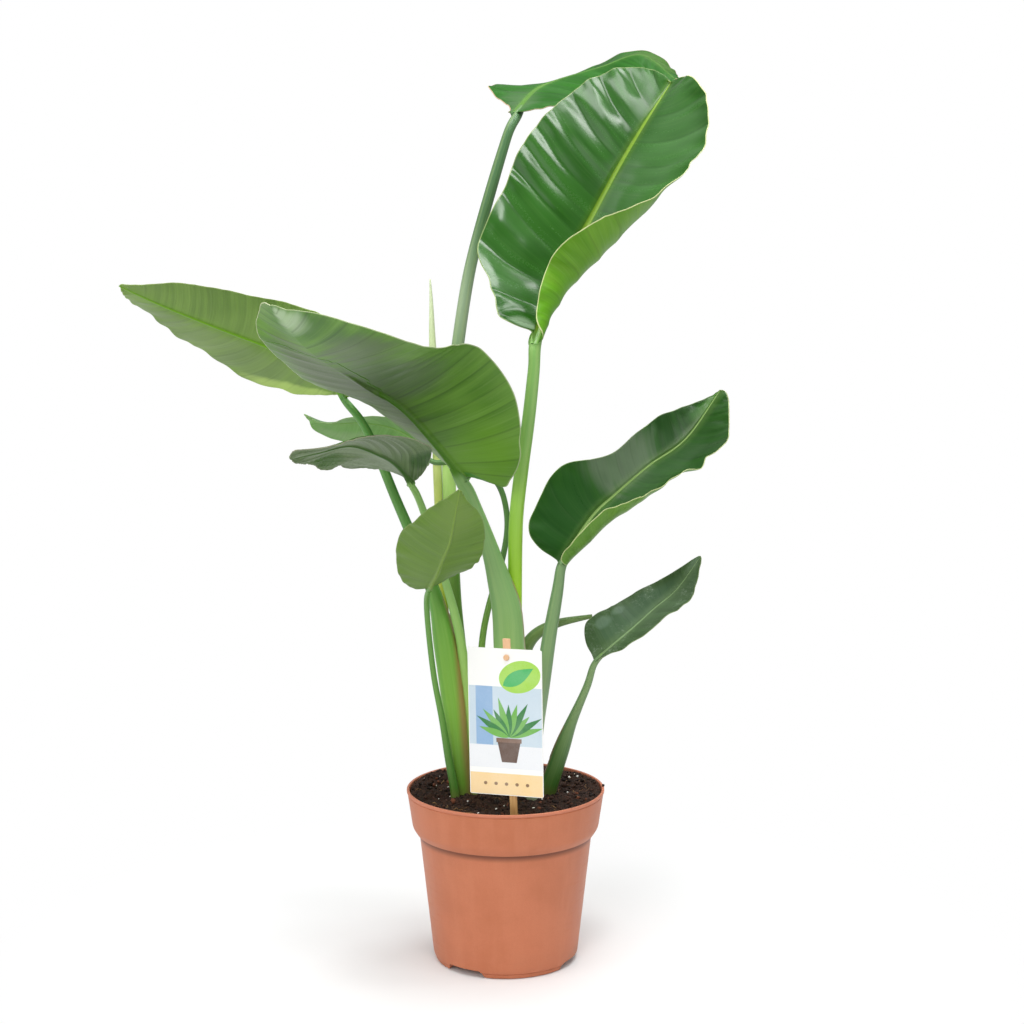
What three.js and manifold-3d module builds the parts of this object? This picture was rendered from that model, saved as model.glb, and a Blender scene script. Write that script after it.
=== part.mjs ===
// A young bird of paradise plant with nine leaves, in a plastic nursery pot with a label on a stick.
// Millimetres. +Z is up, +X is right and -Y is the front. The origin is the middle of the pot's
// underside, on the ground.

import * as THREE from 'three';
import { mergeVertices } from 'three/addons/utils/BufferGeometryUtils.js';
import Module from 'manifold-3d';

const wasm = await Module();
wasm.setup();

// ---------------------------------------------------------------- driving dimensions

const CLEARANCE = 0.35; // between pieces that touch

// Pot
const POT_HEIGHT = 167;
const RIM_RADIUS = 95;
const WALL = 2;
const FOOT_RADIUS = 67.5;
const FOOT_WIDTH = 3;
const BODY_BOTTOM = 6;
const BODY_BOTTOM_RADIUS = 70;
const BODY_TOP_RADIUS = 83.8;
const BODY_TOP = 123.4;
const BAND_BOTTOM_RADIUS = 89.5;
const BAND_BOTTOM = 132;
const LIP_HEIGHT = 3;
const FLOOR = 2;
const CHANNEL_HEIGHT = 8; // the ring-shaped channel round the middle of the underside
const CHANNEL_RADIUS = 44;
const POT_SIDES = 36;
const FOOT_NOTCHES = [-125, -22, 55, 158]; // degrees from +X
const NOTCH_WIDTH = 40;
const NOTCH_HEIGHT = 6.5;
const DRAIN_HOLES = 6;
const DRAIN_RADIUS = 4.5;
const DRAIN_CIRCLE = 54;

// Soil
const SOIL_TOP = 159.5;
const MOUND_HEIGHT = 3; // of the soil round the stems
const MOUND_RADIUS = 50;
const MOUND_SHIFT = -5; // along X
const SOIL_ROUGHNESS = 1.1;
const LUMPS = [11, 9, 17]; // the lengths over which the surface rises and falls
const SOIL_SLOPE = 0.02; // down to the back
const GRAINS = 18;
const GRAIN_RADIUS = 2.4;
const GRAIN_RISE = 0.1; // of a grain's middle over the surface, per radius

// Label card on its stick
const CARD_WIDTH = 70;
const CARD_HEIGHT = 140;
const CARD_THICKNESS = 0.8;
const CARD_BOTTOM = 182;
const CARD_PLACE = [0.4, -85];
const CARD_TURN = -15; // degrees about Z, the right side nearer to the front
const CARD_LEAN = 3.5; // degrees, the top nearer to the front
const STICK_WIDTH = 7;
const STICK_THICKNESS = 2.4;
const STICK_BOTTOM = 112;
const STICK_TOP = 331;
const STICK_SHIFT = [7.5, 1.5]; // across the card, at the stick's two ends
const PEG_RADIUS = 2.8;
const PEG_HEAD = 1.6;
const PEG_SHAFT_RADIUS = 1.4;
const PEG_HEIGHT = 314;

// Leaf blades
const BLADE_THICKNESS = 0.8;
const MARGIN_THICKNESS = 0.64;
const RIB_DEPTH = [0.86, 0.45, 0.32, 0.26, 0.19, 0.12, 0.06]; // base to tip, per width of the neck
const RIB_HALF_WIDTH = [0.5, 0.42, 0.35, 0.28, 0.22, 0.16, 0.1];
const VEIN_SWEEP = [-0.75, -0.35, 0, 0.12, 0.22, 0.35, 0.5]; // base to tip, forward per reach
const CURL_STEPS = 32;
const CURL_FULL_REACH = 30; // a half narrower than this curls less
const STALK_SIDES = 10;
const STALK_DEPTH = 0.86; // per width
const NECK_LENGTH = 9; // where the stalk runs along the midrib
const NECK_GAP = 1.4; // from there to the blade, whose base slants back on both sides of the rib

// A leaf's midrib runs through its points from base to tip. The upper side looks along facing.
// Each half has its reach from the midrib, the angle at which it rises from the rib and the
// angle through which it curls on its way to the margin, from base to tip, in degrees.
// A wave is the margin's amplitude, the number of waves along it and their start.
// A stalk's points run up from the soil, each with the stalk's width there. Above the last of them
// the stalk bends in under the midrib, where it is as wide as neck.
const LEAVES = {
  leaf_upper_front: {
    green: 0x2f6b22,
    stalkGreen: 0x6f9a52,
    rows: 20,
    columns: 6,
    midrib: [
      [29, -45, 605], [49, -9, 657], [77, -4, 706], [103, -7, 754], [127, -5, 794], [152, 2, 832],
    ],
    facing: [[-0.12, -0.96, 0.25], [-0.3, -0.91, 0.27], [-0.44, -0.55, 0.7]],
    left: {
      reach: [5, 8, 38, 49, 68, 81, 85, 91, 91, 87, 81, 73, 60, 42, 20, 0],
      rise: [28, 4, -2], curl: [26, -3, 4, -2], wave: [2, 2.5, 0.2],
    },
    right: {
      reach: [5, 37, 89, 109, 90, 51, 0], rise: [0, -1, 19], curl: [218, 175, 28, 20], wave: [1, 3, 0],
    },
    neck: 9.5,
    stalk: [
      [9, 8, 114, 14.5], [9, 6, 158, 14.5], [9, 2, 233, 14], [9, -4, 312, 13.5], [9, -10, 374, 13.5],
      [10, -18, 430, 13.5], [15, -27, 478, 13], [21, -36, 522, 12],
      [25, -43, 560, 11.5], [27, -46, 583, 10.5],
    ],
  },
  leaf_upper_back: {
    green: 0x3d7a30,
    stalkGreen: 0x5f8f5b,
    rows: 17,
    columns: 5,
    midrib: [
      [9, 43, 808], [28, 88, 831], [50, 121, 843], [93, 144, 857], [134, 152, 869], [167, 142, 845],
    ],
    facing: [[-0.27, 0.51, 0.81], [-0.18, 0.57, 0.8], [-0.26, 0.35, 0.9]],
    left: {
      reach: [5, 12, 53, 69, 53, 22, 0], rise: [41, 28, 27], curl: [10, 8, 17, 30], wave: [2, 3, 0.3],
    },
    right: {
      reach: [5, 36, 46, 54, 52, 35, 0], rise: [-22, -56, -52], curl: [6, -5, -17, -3], wave: [2, 3, 0],
    },
    neck: 8.5,
    stalk: [
      [-31, 26, 108, 14.5], [-33, 25, 152, 14.5], [-38, 24, 227, 13.5], [-44, 24, 297, 12.5],
      [-49, 24, 351, 12.5], [-52, 25, 414, 13.5], [-54, 26, 471, 13], [-51, 26, 538, 12.5],
      [-45, 26, 591, 12], [-36, 27, 649, 11.5], [-27, 28, 688, 11], [-12, 28, 741, 10.5],
      [-1, 29, 777, 9.5], [4, 31, 793, 9],
    ],
  },
  leaf_far_left: {
    green: 0x6a9440,
    stalkGreen: 0x6fa04a,
    rows: 17,
    columns: 5,
    midrib: [
      [-149, -4, 543], [-174, 14, 569], [-225, 9, 591], [-271, -13, 611], [-314, -37, 631], [-347, -62, 649],
    ],
    facing: [[0.28, 0.75, 0.6], [0.27, 0.78, 0.56], [0.26, 0.78, 0.57]],
    left: {
      reach: [5, 43, 59, 58, 41, 13, 0], rise: [-15, -5, -6], curl: [0, 15, 6, -2], wave: [1, 3, 0],
    },
    right: {
      reach: [5, 4, 7, 23, 44, 54, 54, 42, 37, 25, 11, 3, 0],
      rise: [-18, 0, 15], curl: [15, 8, 30, 13], wave: [2, 4, 0.4],
    },
    neck: 6.5,
    stalk: [
      [-41, 0, 116, 19], [-42, 0, 159, 21], [-46, 0, 209, 22], [-50, 0, 253, 23], [-58, -3, 312, 22],
      [-65, -6, 349, 15], [-77, -9, 385, 11.5], [-91, -12, 421, 10], [-103, -14, 450, 9.5],
      [-121, -14, 496, 8.5], [-135, -12, 524, 7.5],
    ],
  },
  leaf_broad_left: {
    green: 0x4c7d2b,
    stalkGreen: 0x5b8f45,
    rows: 19,
    columns: 6,
    midrib: [
      [-39, -40, 473], [-66, -59, 509], [-94, -84, 542],
      [-128, -117, 566], [-168, -162, 598], [-198, -180, 636],
    ],
    facing: [[0.5, 0.74, 0.45], [0.19, 0.79, 0.59], [0.1, 0.36, 0.93]],
    left: {
      reach: [5, 36, 62, 84, 101, 110, 119, 117, 110, 65, 25, 10, 0],
      rise: [0, -11, -21], curl: [0, 20, 6, 25], wave: [2, 2, 0.5],
    },
    right: {
      reach: [5, 25, 47, 61, 74, 82, 84, 77, 66, 58, 36, 15, 0],
      rise: [26, 20, 22], curl: [37, 24, 10, 0], wave: [1, 3, 0],
    },
    neck: 10,
    stalk: [
      [7, 2, 116, 24], [7, 1, 159, 25], [7, -3, 215, 29], [5, -8, 265, 30], [3, -12, 314, 29],
      [1, -15, 345, 28], [-6, -19, 373, 22.5], [-14, -24, 402, 16.5],
      [-25, -31, 434, 14], [-32, -37, 454, 12],
    ],
  },
  leaf_slim_left: {
    green: 0x5f9a3f,
    stalkGreen: 0x477a3c,
    rows: 14,
    columns: 4,
    midrib: [
      [-73, 19, 486], [-86, 31, 500], [-108, 37, 511], [-137, 38, 516], [-170, 43, 515], [-193, 44, 523],
    ],
    facing: [[0.2, 0.71, 0.67], [0.07, 0.74, 0.67], [0.1, 0.65, 0.75]],
    left: {
      reach: [4, 8, 14, 24, 33, 37, 37, 33, 27, 21, 9, 2, 0],
      rise: [-18, -31, -44], curl: [0, 5, -9, -8], wave: [1, 3, 0],
    },
    right: {
      reach: [4, 10, 17, 27, 37, 42, 41, 38, 29, 19, 8, 3, 0],
      rise: [-7, 0, 13], curl: [-8, -11, 0, 3], wave: [1, 3, 0.3],
    },
    neck: 5,
    stalk: [
      [-20, 14, 113, 8], [-21, 14, 156, 8], [-25, 15, 230, 7], [-23, 17, 301, 6.5], [-17, 20, 337, 6.2],
      [-8, 22, 368, 6], [-1, 21, 395, 5.8], [2, 18, 424, 5.6], [-5, 15, 457, 5.6], [-23, 12, 475, 5.6],
      [-47, 10, 482, 5.4],
    ],
  },
  leaf_arched_left: {
    green: 0x76856a,
    stalkGreen: 0x3f7a3e,
    rows: 15,
    columns: 5,
    midrib: [
      [-85, -75, 473], [-97, -98, 491], [-110, -123, 503],
      [-134, -146, 514], [-161, -167, 510], [-183, -178, 506],
    ],
    facing: [[0.29, 0.75, 0.6], [0.06, 0.66, 0.75], [0.13, 0.63, 0.77]],
    left: {
      reach: [4, 8, 17, 28, 39, 42, 42, 40, 30, 26, 35, 18, 0],
      rise: [45, -6, -30], curl: [36, 5, -5, 30], wave: [1, 3, 0],
    },
    right: {
      reach: [4, 21, 40, 55, 52, 51, 53, 43, 33, 21, 11, 3, 0],
      rise: [38, 11, 21], curl: [20, -30, -7, 7], wave: [2, 4, 0.6],
    },
    neck: 6,
    stalk: [
      [-31, 3, 115, 12.5], [-31, 3, 158, 12.5], [-33, 3, 208, 12.5], [-36, 1, 252, 11.5],
      [-42, -6, 308, 9], [-48, -14, 340, 8.5], [-57, -24, 375, 7.3], [-66, -38, 409, 7.2],
      [-74, -53, 440, 7], [-79, -63, 456, 6.6],
    ],
  },
  leaf_small_front: {
    green: 0x6d8442,
    stalkGreen: 0x4f8a3f,
    rows: 13,
    columns: 4,
    midrib: [
      [-70, -62, 373], [-62, -96, 391], [-55, -125, 411],
      [-48, -151, 430], [-43, -175, 455], [-38, -195, 481],
    ],
    facing: [[-0.03, 0.84, 0.54], [0.1, 0.71, 0.7], [0.1, 0.6, 0.8]],
    left: {
      reach: [4, 29, 37, 33, 24, 6, 0], rise: [38, 18, 6], curl: [16, 0, 0, 0], wave: [1, 2, 0],
    },
    right: {
      reach: [4, 24, 39, 42, 26, 7, 0], rise: [-7, 8, 13], curl: [1, 7, -2, 0], wave: [1, 2, 0.3],
    },
    neck: 5,
    stalk: [
      [-47, -16, 121, 8.6], [-48, -16, 164, 8.6], [-54, -16, 198, 7.6], [-60, -18, 238, 6.2],
      [-67, -22, 277, 5.6], [-71, -28, 314, 5.4], [-73, -37, 343, 5.4], [-73, -48, 361, 5.4],
    ],
  },
  leaf_right_high: {
    green: 0x24502a,
    stalkGreen: 0x5f8c55,
    rows: 19,
    columns: 6,
    midrib: [
      [56, -20, 396], [82, -7, 432], [104, 0, 452], [136, 9, 478], [172, 24, 502], [206, 46, 546],
    ],
    facing: [[-0.28, -0.88, 0.39], [-0.36, -0.79, 0.5], [-0.28, -0.77, 0.58]],
    left: {
      reach: [5, 22, 43, 50, 54, 43, 31, 33, 34, 23, 9, 2, 0],
      rise: [21, 17, 9], curl: [21, 20, 16, 6], wave: [1, 3, 0],
    },
    right: {
      reach: [5, 43, 64, 62, 47, 19, 0], rise: [3, 6, -2], curl: [176, 100, 33, -14], wave: [2, 3, 0.4],
    },
    neck: 8,
    stalk: [
      [26, -16, 120, 14.5], [26, -16, 162, 14.5], [27, -17, 202, 14.5], [30, -16, 236, 14.3],
      [35, -14, 270, 14.3], [41, -13, 314, 13.5], [47, -14, 349, 12], [51, -16, 374, 10],
    ],
  },
  leaf_right_low: {
    green: 0x2c5133,
    stalkGreen: 0x6f9a55,
    rows: 14,
    columns: 4,
    midrib: [
      [88, -14, 298], [102, -17, 311], [122, -8, 326], [143, 13, 340], [165, 26, 356], [187, 23, 388],
    ],
    facing: [[-0.32, -0.81, 0.5], [-0.37, -0.71, 0.6], [-0.31, -0.73, 0.61]],
    left: {
      reach: [4, 10, 23, 34, 35, 32, 32, 27, 21, 13, 7, 3, 0],
      rise: [0, 2, 0], curl: [10, 13, 3, 0], wave: [1, 3, 0],
    },
    right: {
      reach: [4, 3, 4, 7, 17, 25, 25, 29, 26, 18, 8, 3, 0],
      rise: [9, 13, 4], curl: [34, 32, 18, 0], wave: [2, 3, 0.2],
    },
    neck: 6,
    stalk: [
      [33, 3, 116, 19], [38, 2, 157, 19], [47, 0, 184, 16.5], [55, -1, 209, 15.5], [63, -3, 232, 10.5],
      [73, -5, 256, 7.8], [81, -8, 277, 7],
    ],
  },
};

// The rolled new leaf and the old stalk that was cut off
const SPEAR = [
  [-45, 26, 108, 9], [-46, 25, 152, 9], [-50, 24, 227, 8.5], [-55, 24, 297, 8], [-60, 24, 351, 8],
  [-63, 25, 414, 8], [-65, 26, 471, 8.5], [-66, 26, 538, 8], [-69, 26, 591, 6.6], [-70, 26, 633, 3.3],
  [-71, 26, 653, 1.4],
];
const CUT_STALK = [
  [14, 30, 107, 16.5], [14, 30, 151, 16.5], [13, 28, 216, 15], [13, 26, 267, 14], [20, 24, 301, 13],
  [34, 21, 317, 10.6], [52, 18, 325, 8.2], [69, 15, 329, 5.8], [83, 13, 332, 4],
];

// A stalk whose widened foot clasps another one
const CLASPED = [
  ['leaf_broad_left', 'leaf_upper_front'],
  ['leaf_far_left', 'leaf_arched_left'],
];

// ---------------------------------------------------------------- curves and solids

const radians = THREE.MathUtils.degToRad;

// A smooth curve through equally spaced numbers or points, at t from 0 to 1
function smooth(values, t) {
  if (Array.isArray(values[0])) {
    return values[0].map((_, axis) => smooth(values.map((value) => value[axis]), t));
  }
  const last = values.length - 1;
  const place = Math.min(Math.max(t, 0), 1) * last;
  const i = Math.min(Math.floor(place), last - 1);
  const f = place - i;
  const b = values[i];
  const c = values[i + 1];
  const a = i > 0 ? values[i - 1] : 2 * b - c;
  const d = i + 2 <= last ? values[i + 2] : 2 * c - b;
  const bend = 2 * a - 5 * b + 4 * c - d;
  const twist = 3 * b - a - 3 * c + d;
  return 0.5 * (2 * b + (c - a) * f + bend * f ** 2 + twist * f ** 3);
}

const vector = (values) => new THREE.Vector3(...values);

function direction(points, t) {
  const step = 1e-3;
  const ahead = vector(smooth(points, Math.min(t + step, 1)));
  return ahead.sub(vector(smooth(points, Math.max(t - step, 0)))).normalize();
}

// A closed geometry with shared corners, faces outward
function closed(corners, faces) {
  const volume = faces.reduce((sum, [a, b, c]) => (
    sum + corners[a].dot(new THREE.Vector3().crossVectors(corners[b], corners[c]))
  ), 0);
  const outward = volume > 0 ? faces : faces.map(([a, b, c]) => [a, c, b]);
  const geometry = new THREE.BufferGeometry();
  const places = corners.flatMap((p) => [p.x, p.y, p.z]);
  geometry.setAttribute('position', new THREE.Float32BufferAttribute(places, 3));
  geometry.setIndex(outward.flat());
  return geometry;
}

function onlyPositions(geometry) {
  geometry.deleteAttribute('normal');
  geometry.deleteAttribute('uv');
  return mergeVertices(geometry, 1e-4);
}

function toManifold(geometry) {
  return new wasm.Manifold(new wasm.Mesh({
    numProp: 3,
    vertProperties: new Float32Array(geometry.attributes.position.array),
    triVerts: new Uint32Array(geometry.index.array),
  }));
}

function fromManifold(solid) {
  const mesh = solid.getMesh();
  const geometry = new THREE.BufferGeometry();
  geometry.setAttribute('position', new THREE.Float32BufferAttribute(mesh.vertProperties, 3));
  geometry.setIndex(new THREE.BufferAttribute(mesh.triVerts, 1));
  return mergeVertices(geometry, 1e-3);
}

const cut = (geometry, ...tools) => fromManifold(
  tools.reduce((solid, tool) => solid.subtract(toManifold(tool)), toManifold(geometry)),
);

const join = (geometry, ...others) => fromManifold(
  others.reduce((solid, other) => solid.add(toManifold(other)), toManifold(geometry)),
);

// The direction in which the upper side of a blade looks at its midrib
function facingAt(leaf, t) {
  const along = direction(leaf.midrib, t);
  const facing = vector(smooth(leaf.facing, t));
  return facing.addScaledVector(along, -facing.dot(along)).normalize();
}

// ---------------------------------------------------------------- stalks

// A stalk's points up to its end just short of the blade, under the line of the upper side
function stalkPoints(leaf) {
  const along = direction(leaf.midrib, 0);
  const end = vector(leaf.midrib[0])
    .addScaledVector(along, -NECK_GAP)
    .addScaledVector(facingAt(leaf, 0), -(BLADE_THICKNESS + STALK_DEPTH * leaf.neck) / 2 - CLEARANCE);
  const bend = end.clone().addScaledVector(along, -NECK_LENGTH);
  return [...leaf.stalk, [...bend.toArray(), leaf.neck], [...end.toArray(), leaf.neck]];
}

// A stalk of oval section along its points, wider than drawn by extra all round
function stalkSolid(points, extra = 0) {
  const route = points.map((point) => point.slice(0, 3));
  const widths = points.map((point) => point[3]);
  const steps = Math.round((points.length - 1) * 1.5);
  const corners = [];
  const faces = [];
  const inflate = extra / Math.cos(Math.PI / STALK_SIDES);
  for (let i = 0; i <= steps; i += 1) {
    const t = i / steps;
    const centre = vector(smooth(route, t));
    const along = direction(route, t);
    if (i === 0) centre.addScaledVector(along, -extra);
    if (i === steps) centre.addScaledVector(along, extra);
    const across = new THREE.Vector3(0, 1, 0).cross(along).normalize();
    const through = new THREE.Vector3().crossVectors(along, across);
    const half = smooth(widths, t) / 2;
    for (let k = 0; k < STALK_SIDES; k += 1) {
      const angle = (2 * Math.PI * (k + 0.5)) / STALK_SIDES;
      corners.push(centre.clone()
        .addScaledVector(across, (half + inflate) * Math.cos(angle))
        .addScaledVector(through, (half * STALK_DEPTH + inflate) * Math.sin(angle)));
    }
  }
  for (let i = 0; i < steps; i += 1) {
    for (let k = 0; k < STALK_SIDES; k += 1) {
      const a = i * STALK_SIDES + k;
      const b = i * STALK_SIDES + ((k + 1) % STALK_SIDES);
      faces.push([a, b, b + STALK_SIDES], [a, b + STALK_SIDES, a + STALK_SIDES]);
    }
  }
  const top = steps * STALK_SIDES;
  for (let k = 1; k < STALK_SIDES - 1; k += 1) {
    faces.push([0, k + 1, k], [top, top + k, top + k + 1]);
  }
  return closed(corners, faces);
}

// ---------------------------------------------------------------- leaf blades

// The places across one half of a blade, from the rib to the margin, as shares of its reach
function acrossShares(columns, reach, ribHalfWidth) {
  const rib = Math.min(0.45, ribHalfWidth / reach);
  const shares = [rib];
  for (let k = 1; k < columns; k += 1) shares.push(rib + ((1 - rib) * k) / (columns - 1));
  return shares;
}

// Points on one half of a blade at s along the leaf: side is -1 on the left and 1 on the right
function halfRow(leaf, half, side, s, shares) {
  const t = (1 - Math.cos(Math.PI * s)) / 2;
  const along = direction(leaf.midrib, t);
  const facing = facingAt(leaf, t);
  const across = new THREE.Vector3().crossVectors(along, facing).multiplyScalar(side);
  const centre = vector(smooth(leaf.midrib, t));
  const reach = smooth(half.reach, s);
  const rise = radians(smooth(half.rise, s));
  const curl = radians(smooth(half.curl, s)) * Math.min(1, reach / CURL_FULL_REACH);
  const [amplitude, count, start] = half.wave;
  const margin = amplitude * Math.sin(Math.PI * s) * Math.sin(2 * Math.PI * (count * s + start));
  return shares.map((share) => {
    let out = 0;
    let up = 0;
    for (let k = 0; k < CURL_STEPS; k += 1) {
      const angle = rise + (curl * share * (k + 0.5)) / CURL_STEPS;
      out += (Math.cos(angle) * share * reach) / CURL_STEPS;
      up += (Math.sin(angle) * share * reach) / CURL_STEPS;
    }
    return centre.clone()
      .addScaledVector(across, out)
      .addScaledVector(facing, up + margin * share ** 2)
      .addScaledVector(along, smooth(VEIN_SWEEP, s) * reach * share ** 1.5);
  });
}

function bladeSolid(leaf) {
  const grid = [];
  for (let row = 0; row < leaf.rows; row += 1) {
    const s = row / leaf.rows;
    const t = (1 - Math.cos(Math.PI * s)) / 2;
    const ribHalfWidth = leaf.neck * smooth(RIB_HALF_WIDTH, s);
    const [left, right] = [[leaf.left, -1], [leaf.right, 1]].map(([half, side]) => (
      halfRow(leaf, half, side, s, acrossShares(leaf.columns, smooth(half.reach, s), ribHalfWidth))
    ));
    grid.push([...left.reverse(), vector(smooth(leaf.midrib, t)), ...right]);
  }
  const tip = vector(leaf.midrib.at(-1));
  const width = grid[0].length;
  const middle = leaf.columns;

  // The direction out of the upper side at each grid point
  const outOf = (row, column) => {
    const before = grid[Math.max(row - 1, 0)][column];
    const after = row + 1 < grid.length ? grid[row + 1][column] : tip;
    const left = grid[row][Math.max(column - 1, 0)];
    const right = grid[row][Math.min(column + 1, width - 1)];
    return new THREE.Vector3().crossVectors(right.clone().sub(left), after.clone().sub(before)).normalize();
  };

  const corners = [];
  const faces = [];
  const upper = (row, column) => 2 * (row * width + column);
  const lower = (row, column) => upper(row, column) + 1;
  grid.forEach((points, row) => points.forEach((point, column) => {
    const normal = outOf(row, column);
    const atMargin = column === 0 || column === width - 1;
    const half = (atMargin ? MARGIN_THICKNESS : BLADE_THICKNESS) / 2;
    const rib = column === middle ? leaf.neck * smooth(RIB_DEPTH, row / leaf.rows) : 0;
    corners.push(point.clone().addScaledVector(normal, half));
    corners.push(point.clone().addScaledVector(normal, -half - rib));
  }));
  const tipNormal = outOf(grid.length - 1, middle);
  const tipUpper = corners.length;
  const tipLower = tipUpper + 1;
  corners.push(tip.clone().addScaledVector(tipNormal, MARGIN_THICKNESS / 2));
  corners.push(tip.clone().addScaledVector(tipNormal, -MARGIN_THICKNESS / 2));

  // A quad is split alike on both sides
  const band = (a, b, c, d) => faces.push([a, b, c], [a, c, d]);
  const last = grid.length - 1;
  for (let column = 0; column < width - 1; column += 1) {
    for (let row = 0; row < last; row += 1) {
      band(upper(row, column), upper(row, column + 1), upper(row + 1, column + 1), upper(row + 1, column));
      faces.push([lower(row, column), lower(row + 1, column + 1), lower(row, column + 1)]);
      faces.push([lower(row, column), lower(row + 1, column), lower(row + 1, column + 1)]);
    }
    faces.push([upper(last, column), upper(last, column + 1), tipUpper]);
    faces.push([lower(last, column + 1), lower(last, column), tipLower]);
    band(lower(0, column), lower(0, column + 1), upper(0, column + 1), upper(0, column));
  }
  for (let row = 0; row < last; row += 1) {
    band(lower(row + 1, 0), lower(row, 0), upper(row, 0), upper(row + 1, 0));
    band(lower(row, width - 1), lower(row + 1, width - 1), upper(row + 1, width - 1), upper(row, width - 1));
  }
  band(tipLower, lower(last, 0), upper(last, 0), tipUpper);
  band(lower(last, width - 1), tipLower, tipUpper, upper(last, width - 1));
  return closed(corners, faces);
}

// ---------------------------------------------------------------- pot and soil

function latheSolid(profile) {
  const points = profile.map(([radius, height]) => new THREE.Vector2(radius, height));
  const geometry = new THREE.LatheGeometry(points, POT_SIDES);
  geometry.rotateX(Math.PI / 2);
  const merged = onlyPositions(geometry);
  const position = merged.attributes.position;
  const corners = [];
  for (let i = 0; i < position.count; i += 1) {
    corners.push(new THREE.Vector3().fromBufferAttribute(position, i));
  }
  const faces = [];
  for (let i = 0; i < merged.index.count; i += 3) {
    const [a, b, c] = [0, 1, 2].map((k) => merged.index.getX(i + k));
    if (a !== b && b !== c && c !== a) faces.push([a, b, c]);
  }
  return closed(corners, faces);
}

function blockAt(size, place, angle = 0) {
  const block = onlyPositions(new THREE.BoxGeometry(...size));
  block.translate(...place);
  block.rotateZ(angle);
  return block;
}

const LIP_BOTTOM = POT_HEIGHT - LIP_HEIGHT;
const BAND_TOP_RADIUS = RIM_RADIUS - 0.8;
const FLOOR_EDGE = BODY_BOTTOM_RADIUS - WALL;

function potSolid() {
  const pot = latheSolid([
    [0, 0],
    [CHANNEL_RADIUS - 4, 0],
    [CHANNEL_RADIUS, CHANNEL_HEIGHT],
    [FOOT_RADIUS - FOOT_WIDTH - 1, CHANNEL_HEIGHT],
    [FOOT_RADIUS - FOOT_WIDTH, 0],
    [FOOT_RADIUS, 0],
    [FOOT_RADIUS + 0.6, BODY_BOTTOM - 1.5],
    [BODY_BOTTOM_RADIUS, BODY_BOTTOM],
    [BODY_TOP_RADIUS, BODY_TOP],
    [BAND_BOTTOM_RADIUS - 0.8, BAND_BOTTOM - 1],
    [BAND_BOTTOM_RADIUS, BAND_BOTTOM],
    [BAND_TOP_RADIUS, LIP_BOTTOM - 0.5],
    [BAND_TOP_RADIUS - 0.5, LIP_BOTTOM],
    [RIM_RADIUS, LIP_BOTTOM + 0.6],
    [RIM_RADIUS, POT_HEIGHT - 0.6],
    [RIM_RADIUS - 0.6, POT_HEIGHT],
    [RIM_RADIUS - WALL - 0.6, POT_HEIGHT],
    [BAND_TOP_RADIUS - WALL, LIP_BOTTOM],
    [BAND_BOTTOM_RADIUS - WALL, BAND_BOTTOM + 0.5],
    [BODY_TOP_RADIUS - WALL, BODY_TOP + 0.8],
    [FLOOR_EDGE, CHANNEL_HEIGHT + FLOOR],
    [CHANNEL_RADIUS + 1.4, CHANNEL_HEIGHT + FLOOR],
    [CHANNEL_RADIUS - 2.6, FLOOR],
    [0, FLOOR],
  ]);
  const notches = FOOT_NOTCHES.map((angle) => blockAt(
    [FOOT_WIDTH * 6, NOTCH_WIDTH, 2 * NOTCH_HEIGHT],
    [FOOT_RADIUS, 0, 0],
    radians(angle),
  ));
  const holes = Array.from({ length: DRAIN_HOLES }, (_, i) => {
    const hole = onlyPositions(new THREE.CylinderGeometry(DRAIN_RADIUS, DRAIN_RADIUS, 4 * FLOOR, 8));
    hole.rotateX(Math.PI / 2);
    hole.translate(DRAIN_CIRCLE, 0, CHANNEL_HEIGHT + FLOOR / 2);
    hole.rotateZ((2 * Math.PI * i) / DRAIN_HOLES);
    return hole;
  });
  return cut(pot, ...notches, ...holes);
}

// The soil's surface stands a little higher round the stems and is uneven all over
function soilHeight(x, y) {
  const mound = MOUND_HEIGHT * Math.exp(-((x - MOUND_SHIFT) ** 2 + y ** 2) / MOUND_RADIUS ** 2);
  const small = Math.sin(x / LUMPS[0] + 1) * Math.cos(y / LUMPS[1]);
  const large = Math.sin((x + 2 * y) / LUMPS[2]);
  return SOIL_TOP + mound + SOIL_ROUGHNESS * (small + large) - SOIL_SLOPE * y;
}

// A repeatable series of numbers from 0 to 1
function draws(seed) {
  let state = seed;
  return () => {
    state = (state * 1103515245 + 12345) % 2147483648;
    return state / 2147483648;
  };
}

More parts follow.
